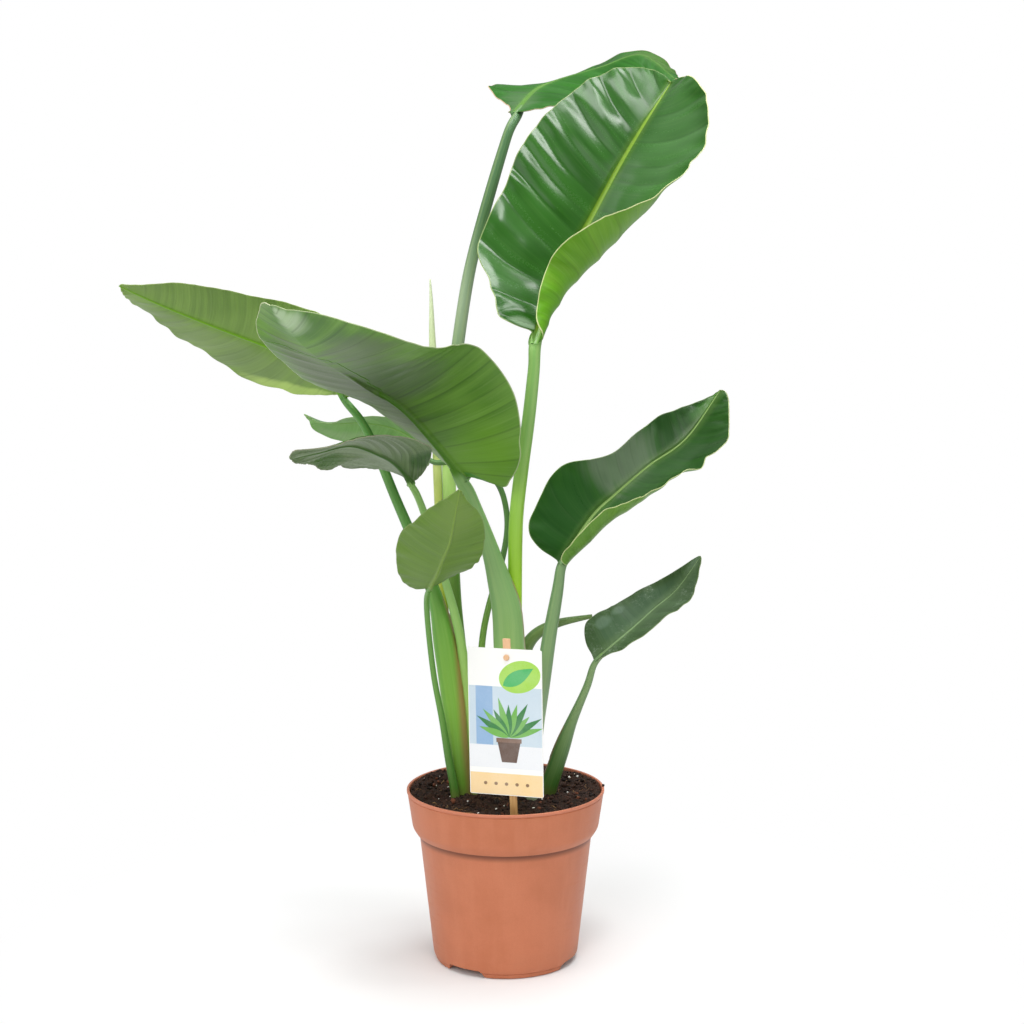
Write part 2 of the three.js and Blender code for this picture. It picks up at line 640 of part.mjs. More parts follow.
// The soil fills the pot up to its lumpy top, with grains on it between the stems' feet
function soilSolid(stems, feet) {
  const innerRadius = (height) => {
    const share = (height - BAND_BOTTOM) / (LIP_BOTTOM - BAND_BOTTOM);
    return BAND_BOTTOM_RADIUS + (BAND_TOP_RADIUS - BAND_BOTTOM_RADIUS) * share - WALL - 2 * CLEARANCE;
  };
  const surfaceRings = [1, 0.8, 0.6, 0.4, 0.2];
  const edge = innerRadius(SOIL_TOP);
  const soil = latheSolid([
    [0, FLOOR + CLEARANCE],
    [CHANNEL_RADIUS - 2.6 - CLEARANCE, FLOOR + CLEARANCE],
    [CHANNEL_RADIUS + 1.4 - CLEARANCE, CHANNEL_HEIGHT + FLOOR + CLEARANCE],
    [FLOOR_EDGE - 2 * CLEARANCE, CHANNEL_HEIGHT + FLOOR + CLEARANCE],
    [BODY_TOP_RADIUS - WALL - 2 * CLEARANCE, BODY_TOP + 0.8],
    [BAND_BOTTOM_RADIUS - WALL - 2 * CLEARANCE, BAND_BOTTOM + 0.5],
    ...surfaceRings.map((share) => [edge * share, SOIL_TOP]),
    [0, SOIL_TOP],
  ]);
  const position = soil.attributes.position;
  for (let i = 0; i < position.count; i += 1) {
    if (position.getZ(i) > SOIL_TOP - 1) {
      const height = soilHeight(position.getX(i), position.getY(i));
      const radius = Math.hypot(position.getX(i), position.getY(i));
      position.setZ(i, height);
      if (radius > edge - 1) {
        position.setX(i, (position.getX(i) * innerRadius(height)) / radius);
        position.setY(i, (position.getY(i) * innerRadius(height)) / radius);
      }
    }
  }
  const draw = draws(7);
  const grains = [];
  while (grains.length < GRAINS) {
    const angle = 2 * Math.PI * draw();
    const radius = (edge - 3 * GRAIN_RADIUS) * Math.sqrt(draw());
    const size = GRAIN_RADIUS * (0.6 + 0.6 * draw());
    const grain = onlyPositions(new THREE.OctahedronGeometry(size, 0));
    grain.rotateX(2 * Math.PI * draw());
    grain.rotateY(2 * Math.PI * draw());
    const [x, y] = [radius * Math.cos(angle), radius * Math.sin(angle)];
    grain.translate(x, y, soilHeight(x, y) + GRAIN_RISE * size);
    if (feet.every((foot) => Math.hypot(x - foot.x, y - foot.y) > foot.radius + 2 * size)) grains.push(grain);
  }
  return cut(join(soil, ...grains), ...stems);
}

// ---------------------------------------------------------------- label

// The label stands in a plane of its own: X across the card, Z up and Y from front to back
function labelFrame(geometry) {
  const middle = CARD_BOTTOM + CARD_HEIGHT / 2;
  geometry.translate(0, 0, -middle);
  geometry.rotateX(radians(CARD_LEAN));
  geometry.translate(0, 0, middle);
  geometry.rotateZ(radians(CARD_TURN));
  geometry.translate(CARD_PLACE[0], CARD_PLACE[1], 0);
  return geometry;
}

function cardSolid() {
  const card = onlyPositions(new THREE.BoxGeometry(CARD_WIDTH, CARD_THICKNESS, CARD_HEIGHT));
  card.translate(0, 0, CARD_BOTTOM + CARD_HEIGHT / 2);
  return labelFrame(cut(card, pegPiece(PEG_SHAFT_RADIUS + CLEARANCE, -3, 3)));
}

const stickShift = (height) => {
  const share = (height - STICK_BOTTOM) / (STICK_TOP - STICK_BOTTOM);
  return STICK_SHIFT[0] + (STICK_SHIFT[1] - STICK_SHIFT[0]) * share;
};

function pegPiece(radius, front, back) {
  const peg = onlyPositions(new THREE.CylinderGeometry(radius, radius, back - front, 10));
  peg.translate(stickShift(PEG_HEIGHT), (front + back) / 2, PEG_HEIGHT);
  return peg;
}

function stickBar(extra) {
  const front = CARD_THICKNESS / 2 + CLEARANCE;
  const back = front + STICK_THICKNESS;
  const half = STICK_WIDTH / 2 + extra;
  const bar = onlyPositions(new THREE.BoxGeometry(1, 1, 1));
  const position = bar.attributes.position;
  for (let i = 0; i < position.count; i += 1) {
    const height = position.getZ(i) > 0 ? STICK_TOP : STICK_BOTTOM - extra;
    position.setX(i, stickShift(height) + Math.sign(position.getX(i)) * half);
    position.setY(i, position.getY(i) > 0 ? back + extra : front - extra);
    position.setZ(i, height);
  }
  return bar;
}

function stickSolid() {
  const head = -CARD_THICKNESS / 2 - CLEARANCE;
  const barFront = CARD_THICKNESS / 2 + CLEARANCE;
  return labelFrame(join(
    stickBar(0),
    pegPiece(PEG_SHAFT_RADIUS, head - 0.4, barFront + 0.5),
    pegPiece(PEG_RADIUS, head - PEG_HEAD, head),
  ));
}

// ---------------------------------------------------------------- the whole plant

const group = new THREE.Group();

function addPiece(name, geometry, color, roughness) {
  const material = new THREE.MeshStandardMaterial({ color, roughness, metalness: 0 });
  const mesh = new THREE.Mesh(geometry, material);
  mesh.name = name;
  group.add(mesh);
}

const stemRoutes = [...Object.values(LEAVES).map(stalkPoints), SPEAR, CUT_STALK];
const stems = [...stemRoutes.map((route) => stalkSolid(route, CLEARANCE)), labelFrame(stickBar(CLEARANCE))];
const feet = stemRoutes.map(([, [x, y, , width]]) => ({ x, y, radius: width / 2 }));
feet.push({ x: CARD_PLACE[0] + STICK_SHIFT[0], y: CARD_PLACE[1], radius: STICK_WIDTH });

addPiece('pot', potSolid(), 0xc87d5c, 0.55);
addPiece('soil', soilSolid(stems, feet), 0x33241b, 0.95);
addPiece('label_card', cardSolid(), 0xf2f1ea, 0.4);
addPiece('label_stick', stickSolid(), 0xd9b98c, 0.65);

for (const [name, leaf] of Object.entries(LEAVES)) {
  const clasped = CLASPED.filter(([outer]) => outer === name)
    .map(([, inner]) => stalkSolid(stalkPoints(LEAVES[inner]), CLEARANCE));
  addPiece(`${name}_blade`, bladeSolid(leaf), leaf.green, 0.4);
  addPiece(`${name}_stalk`, cut(stalkSolid(stalkPoints(leaf)), ...clasped), leaf.stalkGreen, 0.5);
}

addPiece('spear', stalkSolid(SPEAR), 0x9fc069, 0.5);
addPiece('cut_stalk', stalkSolid(CUT_STALK), 0x5b8a43, 0.55);

export default group;
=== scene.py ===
"""A young bird of paradise plant with nine leaves, in a plastic nursery pot with a label on a stick.

Sizes are in millimetres, in the frame of the CAD model, and become metres where meshes are made.
"""
import math

import bmesh
import bpy
import numpy as np
from mathutils import Matrix, Vector, noise


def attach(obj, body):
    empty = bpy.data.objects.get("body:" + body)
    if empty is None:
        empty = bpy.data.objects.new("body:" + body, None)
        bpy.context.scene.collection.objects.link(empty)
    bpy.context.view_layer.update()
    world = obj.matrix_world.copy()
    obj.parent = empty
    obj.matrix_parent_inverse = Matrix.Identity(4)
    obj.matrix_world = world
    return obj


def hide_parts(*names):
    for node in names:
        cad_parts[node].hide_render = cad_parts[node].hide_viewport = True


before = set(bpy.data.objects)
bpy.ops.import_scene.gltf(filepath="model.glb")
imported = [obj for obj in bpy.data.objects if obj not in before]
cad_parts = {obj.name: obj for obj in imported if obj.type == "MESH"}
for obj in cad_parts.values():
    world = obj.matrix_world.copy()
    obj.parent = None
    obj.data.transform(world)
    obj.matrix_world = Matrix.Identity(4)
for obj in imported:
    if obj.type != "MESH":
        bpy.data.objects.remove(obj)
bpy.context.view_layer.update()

MM = 0.001

# ---------------------------------------------------------------- the CAD model's dimensions

CLEARANCE = 0.35
POT_HEIGHT = 167
RIM_RADIUS = 95
WALL = 2
FOOT_RADIUS = 67.5
FOOT_WIDTH = 3
BODY_BOTTOM = 6
BODY_BOTTOM_RADIUS = 70
BODY_TOP_RADIUS = 83.8
BODY_TOP = 123.4
BAND_BOTTOM_RADIUS = 89.5
BAND_BOTTOM = 132
LIP_HEIGHT = 3
FLOOR = 2
CHANNEL_HEIGHT = 8
CHANNEL_RADIUS = 44
FOOT_NOTCHES = [-125, -22, 55, 158]  # degrees from +X
NOTCH_WIDTH = 40
NOTCH_HEIGHT = 6.5
DRAIN_HOLES = 6
DRAIN_RADIUS = 4.5
DRAIN_CIRCLE = 54

SOIL_TOP = 159.5
MOUND_HEIGHT = 3
MOUND_RADIUS = 50
MOUND_SHIFT = -5
SOIL_ROUGHNESS = 1.1
LUMPS = [11, 9, 17]
SOIL_SLOPE = 0.02

CARD_WIDTH = 70
CARD_HEIGHT = 140
CARD_THICKNESS = 0.8
CARD_BOTTOM = 182
CARD_PLACE = [0.4, -85]
CARD_TURN = -15
CARD_LEAN = 3.5
STICK_WIDTH = 7
STICK_THICKNESS = 2.4
STICK_BOTTOM = 112
STICK_TOP = 331
STICK_SHIFT = [7.5, 1.5]
PEG_RADIUS = 2.8
PEG_HEAD = 1.6
PEG_HEIGHT = 314

BLADE_THICKNESS = 0.8
MARGIN_THICKNESS = 0.64
RIB_DEPTH = [0.86, 0.45, 0.32, 0.26, 0.19, 0.12, 0.06]
RIB_HALF_WIDTH = [0.5, 0.42, 0.35, 0.28, 0.22, 0.16, 0.1]
VEIN_SWEEP = [-0.75, -0.35, 0, 0.12, 0.22, 0.35, 0.5]
CURL_STEPS = 32
CURL_FULL_REACH = 30
STALK_DEPTH = 0.86
NECK_LENGTH = 9
NECK_GAP = 1.4

# The leaves as in the CAD model. Midrib and facing are points and directions from base to tip. For
# the left and the right half, reach is how far it runs from the midrib, rise the angle in degrees at
# which it leaves it, curl how far it turns on up to its margin, and wave the height of the margin's
# waves in mm, their number and the start of the first. Neck is the rib's width at the base. The
# stalk's points are x, y, z and width, from below the soil to the bend under the blade.
LEAVES = {
    "upper_front": dict(
        midrib=[
            [29, -45, 605], [49, -9, 657], [77, -4, 706], [103, -7, 754], [127, -5, 794], [152, 2, 832],
        ],
        facing=[[-0.12, -0.96, 0.25], [-0.3, -0.91, 0.27], [-0.44, -0.55, 0.7]],
        left=dict(
            reach=[5, 8, 38, 49, 68, 81, 85, 91, 91, 87, 81, 73, 60, 42, 20, 0], rise=[28, 4, -2],
            curl=[26, -3, 4, -2], wave=[2, 2.5, 0.2],
        ),
        right=dict(
            reach=[5, 37, 89, 109, 90, 51, 0], rise=[0, -1, 19], curl=[218, 175, 28, 20], wave=[1, 3, 0],
        ),
        neck=9.5,
        stalk=[
            [9, 8, 114, 14.5], [9, 6, 158, 14.5], [9, 2, 233, 14], [9, -4, 312, 13.5], [9, -10, 374, 13.5],
            [10, -18, 430, 13.5], [15, -27, 478, 13], [21, -36, 522, 12], [25, -43, 560, 11.5],
            [27, -46, 583, 10.5],
        ],
    ),
    "upper_back": dict(
        midrib=[
            [9, 43, 808], [28, 88, 831], [50, 121, 843], [93, 144, 857], [134, 152, 869], [167, 142, 845],
        ],
        facing=[[-0.27, 0.51, 0.81], [-0.18, 0.57, 0.8], [-0.26, 0.35, 0.9]],
        left=dict(
            reach=[5, 12, 53, 69, 53, 22, 0], rise=[41, 28, 27], curl=[10, 8, 17, 30], wave=[2, 3, 0.3],
        ),
        right=dict(
            reach=[5, 36, 46, 54, 52, 35, 0], rise=[-22, -56, -52], curl=[6, -5, -17, -3], wave=[2, 3, 0],
        ),
        neck=8.5,
        stalk=[
            [-31, 26, 108, 14.5], [-33, 25, 152, 14.5], [-38, 24, 227, 13.5], [-44, 24, 297, 12.5],
            [-49, 24, 351, 12.5], [-52, 25, 414, 13.5], [-54, 26, 471, 13], [-51, 26, 538, 12.5],
            [-45, 26, 591, 12], [-36, 27, 649, 11.5], [-27, 28, 688, 11], [-12, 28, 741, 10.5],
            [-1, 29, 777, 9.5], [4, 31, 793, 9],
        ],
    ),
    "far_left": dict(
        midrib=[
            [-149, -4, 543], [-174, 14, 569], [-225, 9, 591], [-271, -13, 611], [-314, -37, 631],
            [-347, -62, 649],
        ],
        facing=[[0.28, 0.75, 0.6], [0.27, 0.78, 0.56], [0.26, 0.78, 0.57]],
        left=dict(
            reach=[5, 43, 59, 58, 41, 13, 0], rise=[-15, -5, -6], curl=[0, 15, 6, -2], wave=[1, 3, 0],
        ),
        right=dict(
            reach=[5, 4, 7, 23, 44, 54, 54, 42, 37, 25, 11, 3, 0], rise=[-18, 0, 15], curl=[15, 8, 30, 13],
            wave=[2, 4, 0.4],
        ),
        neck=6.5,
        stalk=[
            [-41, 0, 116, 19], [-42, 0, 159, 21], [-46, 0, 209, 22], [-50, 0, 253, 23], [-58, -3, 312, 22],
            [-65, -6, 349, 15], [-77, -9, 385, 11.5], [-91, -12, 421, 10], [-103, -14, 450, 9.5],
            [-121, -14, 496, 8.5], [-135, -12, 524, 7.5],
        ],
    ),
    "broad_left": dict(
        midrib=[
            [-39, -40, 473], [-66, -59, 509], [-94, -84, 542], [-128, -117, 566], [-168, -162, 598],
            [-198, -180, 636],
        ],
        facing=[[0.5, 0.74, 0.45], [0.19, 0.79, 0.59], [0.1, 0.36, 0.93]],
        left=dict(
            reach=[5, 36, 62, 84, 101, 110, 119, 117, 110, 65, 25, 10, 0], rise=[0, -11, -21],
            curl=[0, 20, 6, 25], wave=[2, 2, 0.5],
        ),
        right=dict(
            reach=[5, 25, 47, 61, 74, 82, 84, 77, 66, 58, 36, 15, 0], rise=[26, 20, 22],
            curl=[37, 24, 10, 0], wave=[1, 3, 0],
        ),
        neck=10,
        stalk=[
            [7, 2, 116, 24], [7, 1, 159, 25], [7, -3, 215, 29], [5, -8, 265, 30], [3, -12, 314, 29],
            [1, -15, 345, 28], [-6, -19, 373, 22.5], [-14, -24, 402, 16.5], [-25, -31, 434, 14],
            [-32, -37, 454, 12],
        ],
    ),
    "slim_left": dict(
        midrib=[
            [-73, 19, 486], [-86, 31, 500], [-108, 37, 511], [-137, 38, 516], [-170, 43, 515],
            [-193, 44, 523],
        ],
        facing=[[0.2, 0.71, 0.67], [0.07, 0.74, 0.67], [0.1, 0.65, 0.75]],
        left=dict(
            reach=[4, 8, 14, 24, 33, 37, 37, 33, 27, 21, 9, 2, 0], rise=[-18, -31, -44],
            curl=[0, 5, -9, -8], wave=[1, 3, 0],
        ),
        right=dict(
            reach=[4, 10, 17, 27, 37, 42, 41, 38, 29, 19, 8, 3, 0], rise=[-7, 0, 13], curl=[-8, -11, 0, 3],
            wave=[1, 3, 0.3],
        ),
        neck=5,
        stalk=[
            [-20, 14, 113, 8], [-21, 14, 156, 8], [-25, 15, 230, 7], [-23, 17, 301, 6.5],
            [-17, 20, 337, 6.2], [-8, 22, 368, 6], [-1, 21, 395, 5.8], [2, 18, 424, 5.6],
            [-5, 15, 457, 5.6], [-23, 12, 475, 5.6], [-47, 10, 482, 5.4],
        ],
    ),
    "arched_left": dict(
        midrib=[
            [-85, -75, 473], [-97, -98, 491], [-110, -123, 503], [-134, -146, 514], [-161, -167, 510],
            [-183, -178, 506],
        ],
        facing=[[0.29, 0.75, 0.6], [0.06, 0.66, 0.75], [0.13, 0.63, 0.77]],
        left=dict(
            reach=[4, 8, 17, 28, 39, 42, 42, 40, 30, 26, 35, 18, 0], rise=[45, -6, -30],
            curl=[36, 5, -5, 30], wave=[1, 3, 0],
        ),
        right=dict(
            reach=[4, 21, 40, 55, 52, 51, 53, 43, 33, 21, 11, 3, 0], rise=[38, 11, 21],
            curl=[20, -30, -7, 7], wave=[2, 4, 0.6],
        ),
        neck=6,
        stalk=[
            [-31, 3, 115, 12.5], [-31, 3, 158, 12.5], [-33, 3, 208, 12.5], [-36, 1, 252, 11.5],
            [-42, -6, 308, 9], [-48, -14, 340, 8.5], [-57, -24, 375, 7.3], [-66, -38, 409, 7.2],
            [-74, -53, 440, 7], [-79, -63, 456, 6.6],
        ],
    ),
    "small_front": dict(
        midrib=[
            [-70, -62, 373], [-62, -96, 391], [-55, -125, 411], [-48, -151, 430], [-43, -175, 455],
            [-38, -195, 481],
        ],
        facing=[[-0.03, 0.84, 0.54], [0.1, 0.71, 0.7], [0.1, 0.6, 0.8]],
        left=dict(reach=[4, 29, 37, 33, 24, 6, 0], rise=[38, 18, 6], curl=[16, 0, 0, 0], wave=[1, 2, 0]),
        right=dict(reach=[4, 24, 39, 42, 26, 7, 0], rise=[-7, 8, 13], curl=[1, 7, -2, 0], wave=[1, 2, 0.3]),
        neck=5,
        stalk=[
            [-47, -16, 121, 8.6], [-48, -16, 164, 8.6], [-54, -16, 198, 7.6], [-60, -18, 238, 6.2],
            [-67, -22, 277, 5.6], [-71, -28, 314, 5.4], [-73, -37, 343, 5.4], [-73, -48, 361, 5.4],
        ],
    ),
    "right_high": dict(
        midrib=[
            [56, -20, 396], [82, -7, 432], [104, 0, 452], [136, 9, 478], [172, 24, 502], [206, 46, 546],
        ],
        facing=[[-0.28, -0.88, 0.39], [-0.36, -0.79, 0.5], [-0.28, -0.77, 0.58]],
        left=dict(
            reach=[5, 22, 43, 50, 54, 43, 31, 33, 34, 23, 9, 2, 0], rise=[21, 17, 9], curl=[21, 20, 16, 6],
            wave=[1, 3, 0],
        ),
        right=dict(
            reach=[5, 43, 64, 62, 47, 19, 0], rise=[3, 6, -2], curl=[176, 100, 33, -14], wave=[2, 3, 0.4],
        ),
        neck=8,
        stalk=[
            [26, -16, 120, 14.5], [26, -16, 162, 14.5], [27, -17, 202, 14.5], [30, -16, 236, 14.3],
            [35, -14, 270, 14.3], [41, -13, 314, 13.5], [47, -14, 349, 12], [51, -16, 374, 10],
        ],
    ),
    "right_low": dict(
        midrib=[
            [88, -14, 298], [102, -17, 311], [122, -8, 326], [143, 13, 340], [165, 26, 356], [187, 23, 388],
        ],
        facing=[[-0.32, -0.81, 0.5], [-0.37, -0.71, 0.6], [-0.31, -0.73, 0.61]],
        left=dict(
            reach=[4, 10, 23, 34, 35, 32, 32, 27, 21, 13, 7, 3, 0], rise=[0, 2, 0], curl=[10, 13, 3, 0],
            wave=[1, 3, 0],
        ),
        right=dict(
            reach=[4, 3, 4, 7, 17, 25, 25, 29, 26, 18, 8, 3, 0], rise=[9, 13, 4], curl=[34, 32, 18, 0],
            wave=[2, 3, 0.2],
        ),
        neck=6,
        stalk=[
            [33, 3, 116, 19], [38, 2, 157, 19], [47, 0, 184, 16.5], [55, -1, 209, 15.5],
            [63, -3, 232, 10.5], [73, -5, 256, 7.8], [81, -8, 277, 7],
        ],
    ),
}
SPEAR = [
    [-45, 26, 108, 9], [-46, 25, 152, 9], [-50, 24, 227, 8.5], [-55, 24, 297, 8], [-60, 24, 351, 8],
    [-63, 25, 414, 8], [-65, 26, 471, 8.5], [-66, 26, 538, 8], [-69, 26, 591, 6.6], [-70, 26, 633, 3.3],
    [-71, 26, 653, 1.4],
]
CUT_STALK = [
    [14, 30, 107, 16.5], [14, 30, 151, 16.5], [13, 28, 216, 15], [13, 26, 267, 14], [20, 24, 301, 13],
    [34, 21, 317, 10.6], [52, 18, 325, 8.2], [69, 15, 329, 5.8], [83, 13, 332, 4],
]

# ---------------------------------------------------------------- looks of the leaves

# Colours are sRGB: two tones for each side of the blade, and one for the rib on each side. Gloss is
# the roughness of the two sides, and shine and under_shine are their specular levels. Rib_width is the
# tinted share of the rib's width on the upper side. Tongue is how far in mm the base runs down in front
# of the stalk. Pleat is the depth of the folds between the side veins per spacing, with its strength on
# the left and the right in pleat_sides, spacing the distance between those veins and lean how far they
# run forward per reach. The crease strength is that of painted shade: dark lines along the creases
# between the folds. A margin is a pale line: its width in mm, its strength on the left and the right,
# and its tone. Frill is the strength of the margin's small waves on the left and the right. Edges are
# bites out of a half's margin (or bumps, if negative): place along the leaf, length and depth in mm.
# Lobes are the same, but pull the margin toward the base, or toward the tip if negative. Patches are
# tinted areas, some of them painted highlights and painted sheen: place along the leaf, share of the
# reach (negative on the left), their two half lengths, tone and strength. Dust is the strength of grey
# specks. Rib_line is where the rib runs below when it isn't under the midrib: places along the leaf
# with their shares of the reach.
LOOKS = {
    "upper_front": dict(
        slot="blade_dark_green", upper=["194a05", "286010"], under=["568c18", "6c9c28"], rib="74962a",
        tongue=10, under_rib="8fb84a", shine=0.5, gloss=[0.22, 0.46], pleat=0.13, pleat_sides=(1, 0.55),
        spacing=23, lean=0.22, seed=3, crease_shade=0.3, margin=(0.9, 0.35, 0.95, "c9cf96"),
        edges=dict(
            left=[(0.29, 0.03, -5), (0.245, 0.02, 3), (0.115, 0.025, -3)], right=[(0.605, 0.012, 4)],
        ),
        patches=[
            # painted sheen: the 5c8c50 patch on the right half; painted highlight: the pale b4ccac spot on
            # the base lobe
            (0.14, 0.6, 0.16, 0.5, "5c9c14", 0.5), (0.62, 0.5, 0.25, 0.5, "5c8c50", 0.3),
            (0.1, -0.55, 0.04, 0.4, "b4ccac", 0.4),
        ],
    ),
    "upper_back": dict(
        slot="blade_mid_green", upper=["1c4c12", "2c6020"], under=["1f4616", "365a2a"], rib="557c38",
        under_rib="527a3a", shine=0.04, under_shine=0.04, gloss=[0.42, 0.5], pleat=0.05, spacing=19,
        lean=0.3, seed=5, crease_shade=0.3, margin=(0.8, 0.9, 0.5, "c0a488"),
        edges=dict(left=[(0.74, 0.05, -2), (0.42, 0.05, 5), (0.325, 0.02, -2)]),
        # the grey 5f7458 patch is a painted sheen
        patches=[(0.12, -0.3, 0.2, 0.9, "5f7458", 0.4), (0.75, -0.5, 0.12, 0.7, "4f7030", 0.6)],
    ),
    "far_left": dict(
        slot="blade_light_green", upper=["4c8430", "5f963c"], under=["5e802e", "789a42"], rib="8fb84a",
        under_rib="6ca01c", gloss=[0.35, 0.42], pleat=0.035, spacing=15, lean=0.3, seed=8, crease_shade=0.15,
        margin=(0.6, 0.3, 0.4, "b9c088"), frill=(0.2, 1.0),
        edges=dict(
            left=[(0.35, 0.03, -4)],
            right=[
                (0.665, 0.02, 2.5), (0.58, 0.028, -4), (0.5, 0.02, 3), (0.43, 0.03, -4), (0.36, 0.02, 3),
            ],
        ),
        # the pale b4d070 strip along the lower margin is a painted highlight on its roll
        patches=[(0.5, 0.55, 0.28, 0.5, "7c8f64", 0.4), (0.33, 0.9, 0.12, 0.2, "b4d070", 0.7)],
    ),
    "broad_left": dict(
        slot="blade_mid_green", upper=["3f7a2a", "4f8a34"], under=["4e7a26", "689436"], rib="8fb84a",
        under_rib="4c7c1a", gloss=[0.34, 0.4], pleat=0.045, spacing=17, lean=0.05, seed=12, crease_shade=0.5,
        margin=(0.9, 0.45, 0.9, "ccd2ac"), frill=(0.4, 0.4),
        lobes=dict(left=[(0.03, 0.018, -12), (0.075, 0.022, 4)]),
        edges=dict(left=[(0.08, 0.04, -3), (0.24, 0.02, 2)]),
        patches=[
            # painted highlight: the pale c8dcb8 patch at the tip; the grey 55664a and 5c6a50 patches are
            # part waxy bloom, part painted sheen
            (0.55, -0.35, 0.12, 0.5, "55664a", 0.6), (0.5, 0.4, 0.3, 0.6, "4c5a38", 0.7),
            (0.85, -0.2, 0.14, 1.2, "407816", 0.7), (0.67, -0.5, 0.05, 0.5, "5c6a50", 0.7),
            (0.76, -0.6, 0.07, 0.5, "2f5c18", 0.5), (0.85, -0.35, 0.1, 0.75, "c8dcb8", 0.55),
            (0.18, -0.5, 0.16, 0.5, "6ea024", 0.4),
        ],
        rib_line=[
            (0, 0), (0.2, 0), (0.4, 0), (0.48, -0.02), (0.56, -0.08), (0.61, -0.12), (0.65, -0.08),
            (0.668, 0.02), (0.68, 0.28), (0.686, 0.62), (0.67, 0.97),
        ],
    ),
    "slim_left": dict(
        slot="blade_mid_green", upper=["548e3a", "6aa04c"], under=["588e36", "74a454"], rib="8fb84a",
        under_rib="7fac52", gloss=[0.35, 0.42], pleat=0.03, spacing=11, lean=0.3, seed=15, crease_shade=0.15,
        margin=(0.5, 0.3, 0.5, "a9a888"), patches=[(0.5, 0.7, 0.3, 0.4, "86a070", 0.5)],
    ),
    "arched_left": dict(
        slot="blade_light_green", upper=["4f7a34", "648a48"], under=["546c40", "748a60"], rib="8fae6a",
        under_rib="3c6420", gloss=[0.36, 0.42], pleat=0.11, spacing=14, lean=2.4, seed=21, crease_shade=0.9,
        margin=(0.6, 0.5, 0.4, "b4a898"), frill=(0.3, 0.2),
        patches=[
            # the grey 74806a patch is part waxy bloom, part painted sheen
            (0.27, -0.75, 0.1, 0.45, "2c5a14", 0.85), (0.5, -0.5, 0.14, 0.5, "74806a", 0.5),
            (0.55, 0.75, 0.1, 0.35, "3a661c", 0.7),
        ],
    ),
    "small_front": dict(
        slot="blade_light_green", upper=["50803a", "648f48"], under=["567826", "668832"], rib="8fae5a",
        under_rib="708e38", gloss=[0.4, 0.5], pleat=0.012, spacing=12, lean=0.3, seed=25, crease_shade=0.06,
        margin=(0.5, 0.15, 0.3, "9fae78"),
        patches=[(0.1, -0.8, 0.2, 0.4, "4a6a26", 0.6), (0.75, 0.0, 0.2, 1.0, "6f8a42", 0.5)],
    ),
    "right_high": dict(
        slot="blade_dark_green", upper=["18400c", "265416"], under=["4f7f20", "628f2c"], rib="7c9a54",
        rib_width=0.55, tongue=8, under_rib="7aa444", shine=0.3, gloss=[0.32, 0.42], pleat=0.03, spacing=17,
        lean=0.3, seed=31, crease_shade=0.2, margin=(0.6, 0.15, 0.8, "c0c890"),
        edges=dict(right=[(0.655, 0.018, 6), (0.6, 0.02, -4), (0.53, 0.015, 2.5), (0.72, 0.03, -4)]),
        patches=[
            # the pale grey 7f8a78 patch is a painted sheen
            (0.5, -0.57, 0.14, 0.8, "7f8a78", 0.42), (0.86, -0.4, 0.12, 0.5, "3c7a20", 0.5),
            (0.55, 0.35, 0.2, 0.35, "42603c", 0.4), (0.25, -0.5, 0.2, 0.5, "1f4a1c", 0.5),
        ],
    ),
    "right_low": dict(
        slot="blade_dark_green", upper=["344c28", "4a6440"], under=["707f5c", "889872"], rib="7c9668",
        rib_width=0.55, frill=(0.4, 0.7), tongue=5, under_rib="7aa054", shine=0.16, gloss=[0.5, 0.5],
        pleat=0.03, spacing=14, lean=0.3, seed=34, crease_shade=0.15, margin=(0.5, 0.1, 0.4, "9fae78"),
        patches=[
            (0.34, -0.7, 0.06, 0.2, "7c9480", 0.4), (0.45, -0.78, 0.05, 0.16, "7c9480", 0.4),
            (0.5, -0.4, 0.3, 0.5, "4a6450", 0.4), (0.7, 0.4, 0.3, 0.7, "5a7054", 0.35),
            (0.9, -0.3, 0.12, 0.8, "748a78", 0.4),
        ],
        dust=0.7,
    ),
}
SWEEP_SHARES = [0.6, 0.4]  # of a side vein's run forward, by the first and second power of the share
FINE_VEIN = 1.7  # mm between the fine veins
ROWS_PER_MM = 0.8
RIB_COLUMNS = [0, 0.3, 0.6, 0.85, 1]
BLADE_COLUMNS = 24
MARGIN_BEAD = 0.7
PLEAT_PEAK = 0.5  # where between two creases a fold is highest
FRILL = 0.5  # mm, the small waves of every margin
FRILL_LENGTHS = [31, 19, 12]  # mm
FRILL_FROM = 0.55  # the share of the reach from which they grow
RIB_LINE_STEPS = 240

# ---------------------------------------------------------------- curves


def smooth(values, t):
    """A smooth curve through equally spaced numbers or points, at each t from 0 to 1."""
    values = np.asarray(values, float)
    last = len(values) - 1
    place = np.clip(np.asarray(t, float), 0, 1) * last
    i = np.minimum(place.astype(int), last - 1)
    trailing = (1,) * (values.ndim - 1)
    f = (place - i).reshape(place.shape + trailing)
    b = values[i]
    c = values[i + 1]
    a = np.where((i > 0).reshape(i.shape + trailing), values[np.maximum(i - 1, 0)], 2 * b - c)
    d = np.where((i + 2 <= last).reshape(i.shape + trailing), values[np.minimum(i + 2, last)], 2 * c - b)
    bend = 2 * a - 5 * b + 4 * c - d
    twist = 3 * b - a - 3 * c + d
    return 0.5 * (2 * b + (c - a) * f + bend * f**2 + twist * f**3)


def unit(vectors):
    return vectors / np.linalg.norm(vectors, axis=-1, keepdims=True)


def direction(points, t):
    step = 1e-3
    return unit(smooth(points, np.minimum(t + step, 1)) - smooth(points, np.maximum(t - step, 0)))


def run_along(points):
    """How far each point lies along their line."""
    return np.concatenate([[0], np.cumsum(np.linalg.norm(np.diff(points, axis=0), axis=1))])


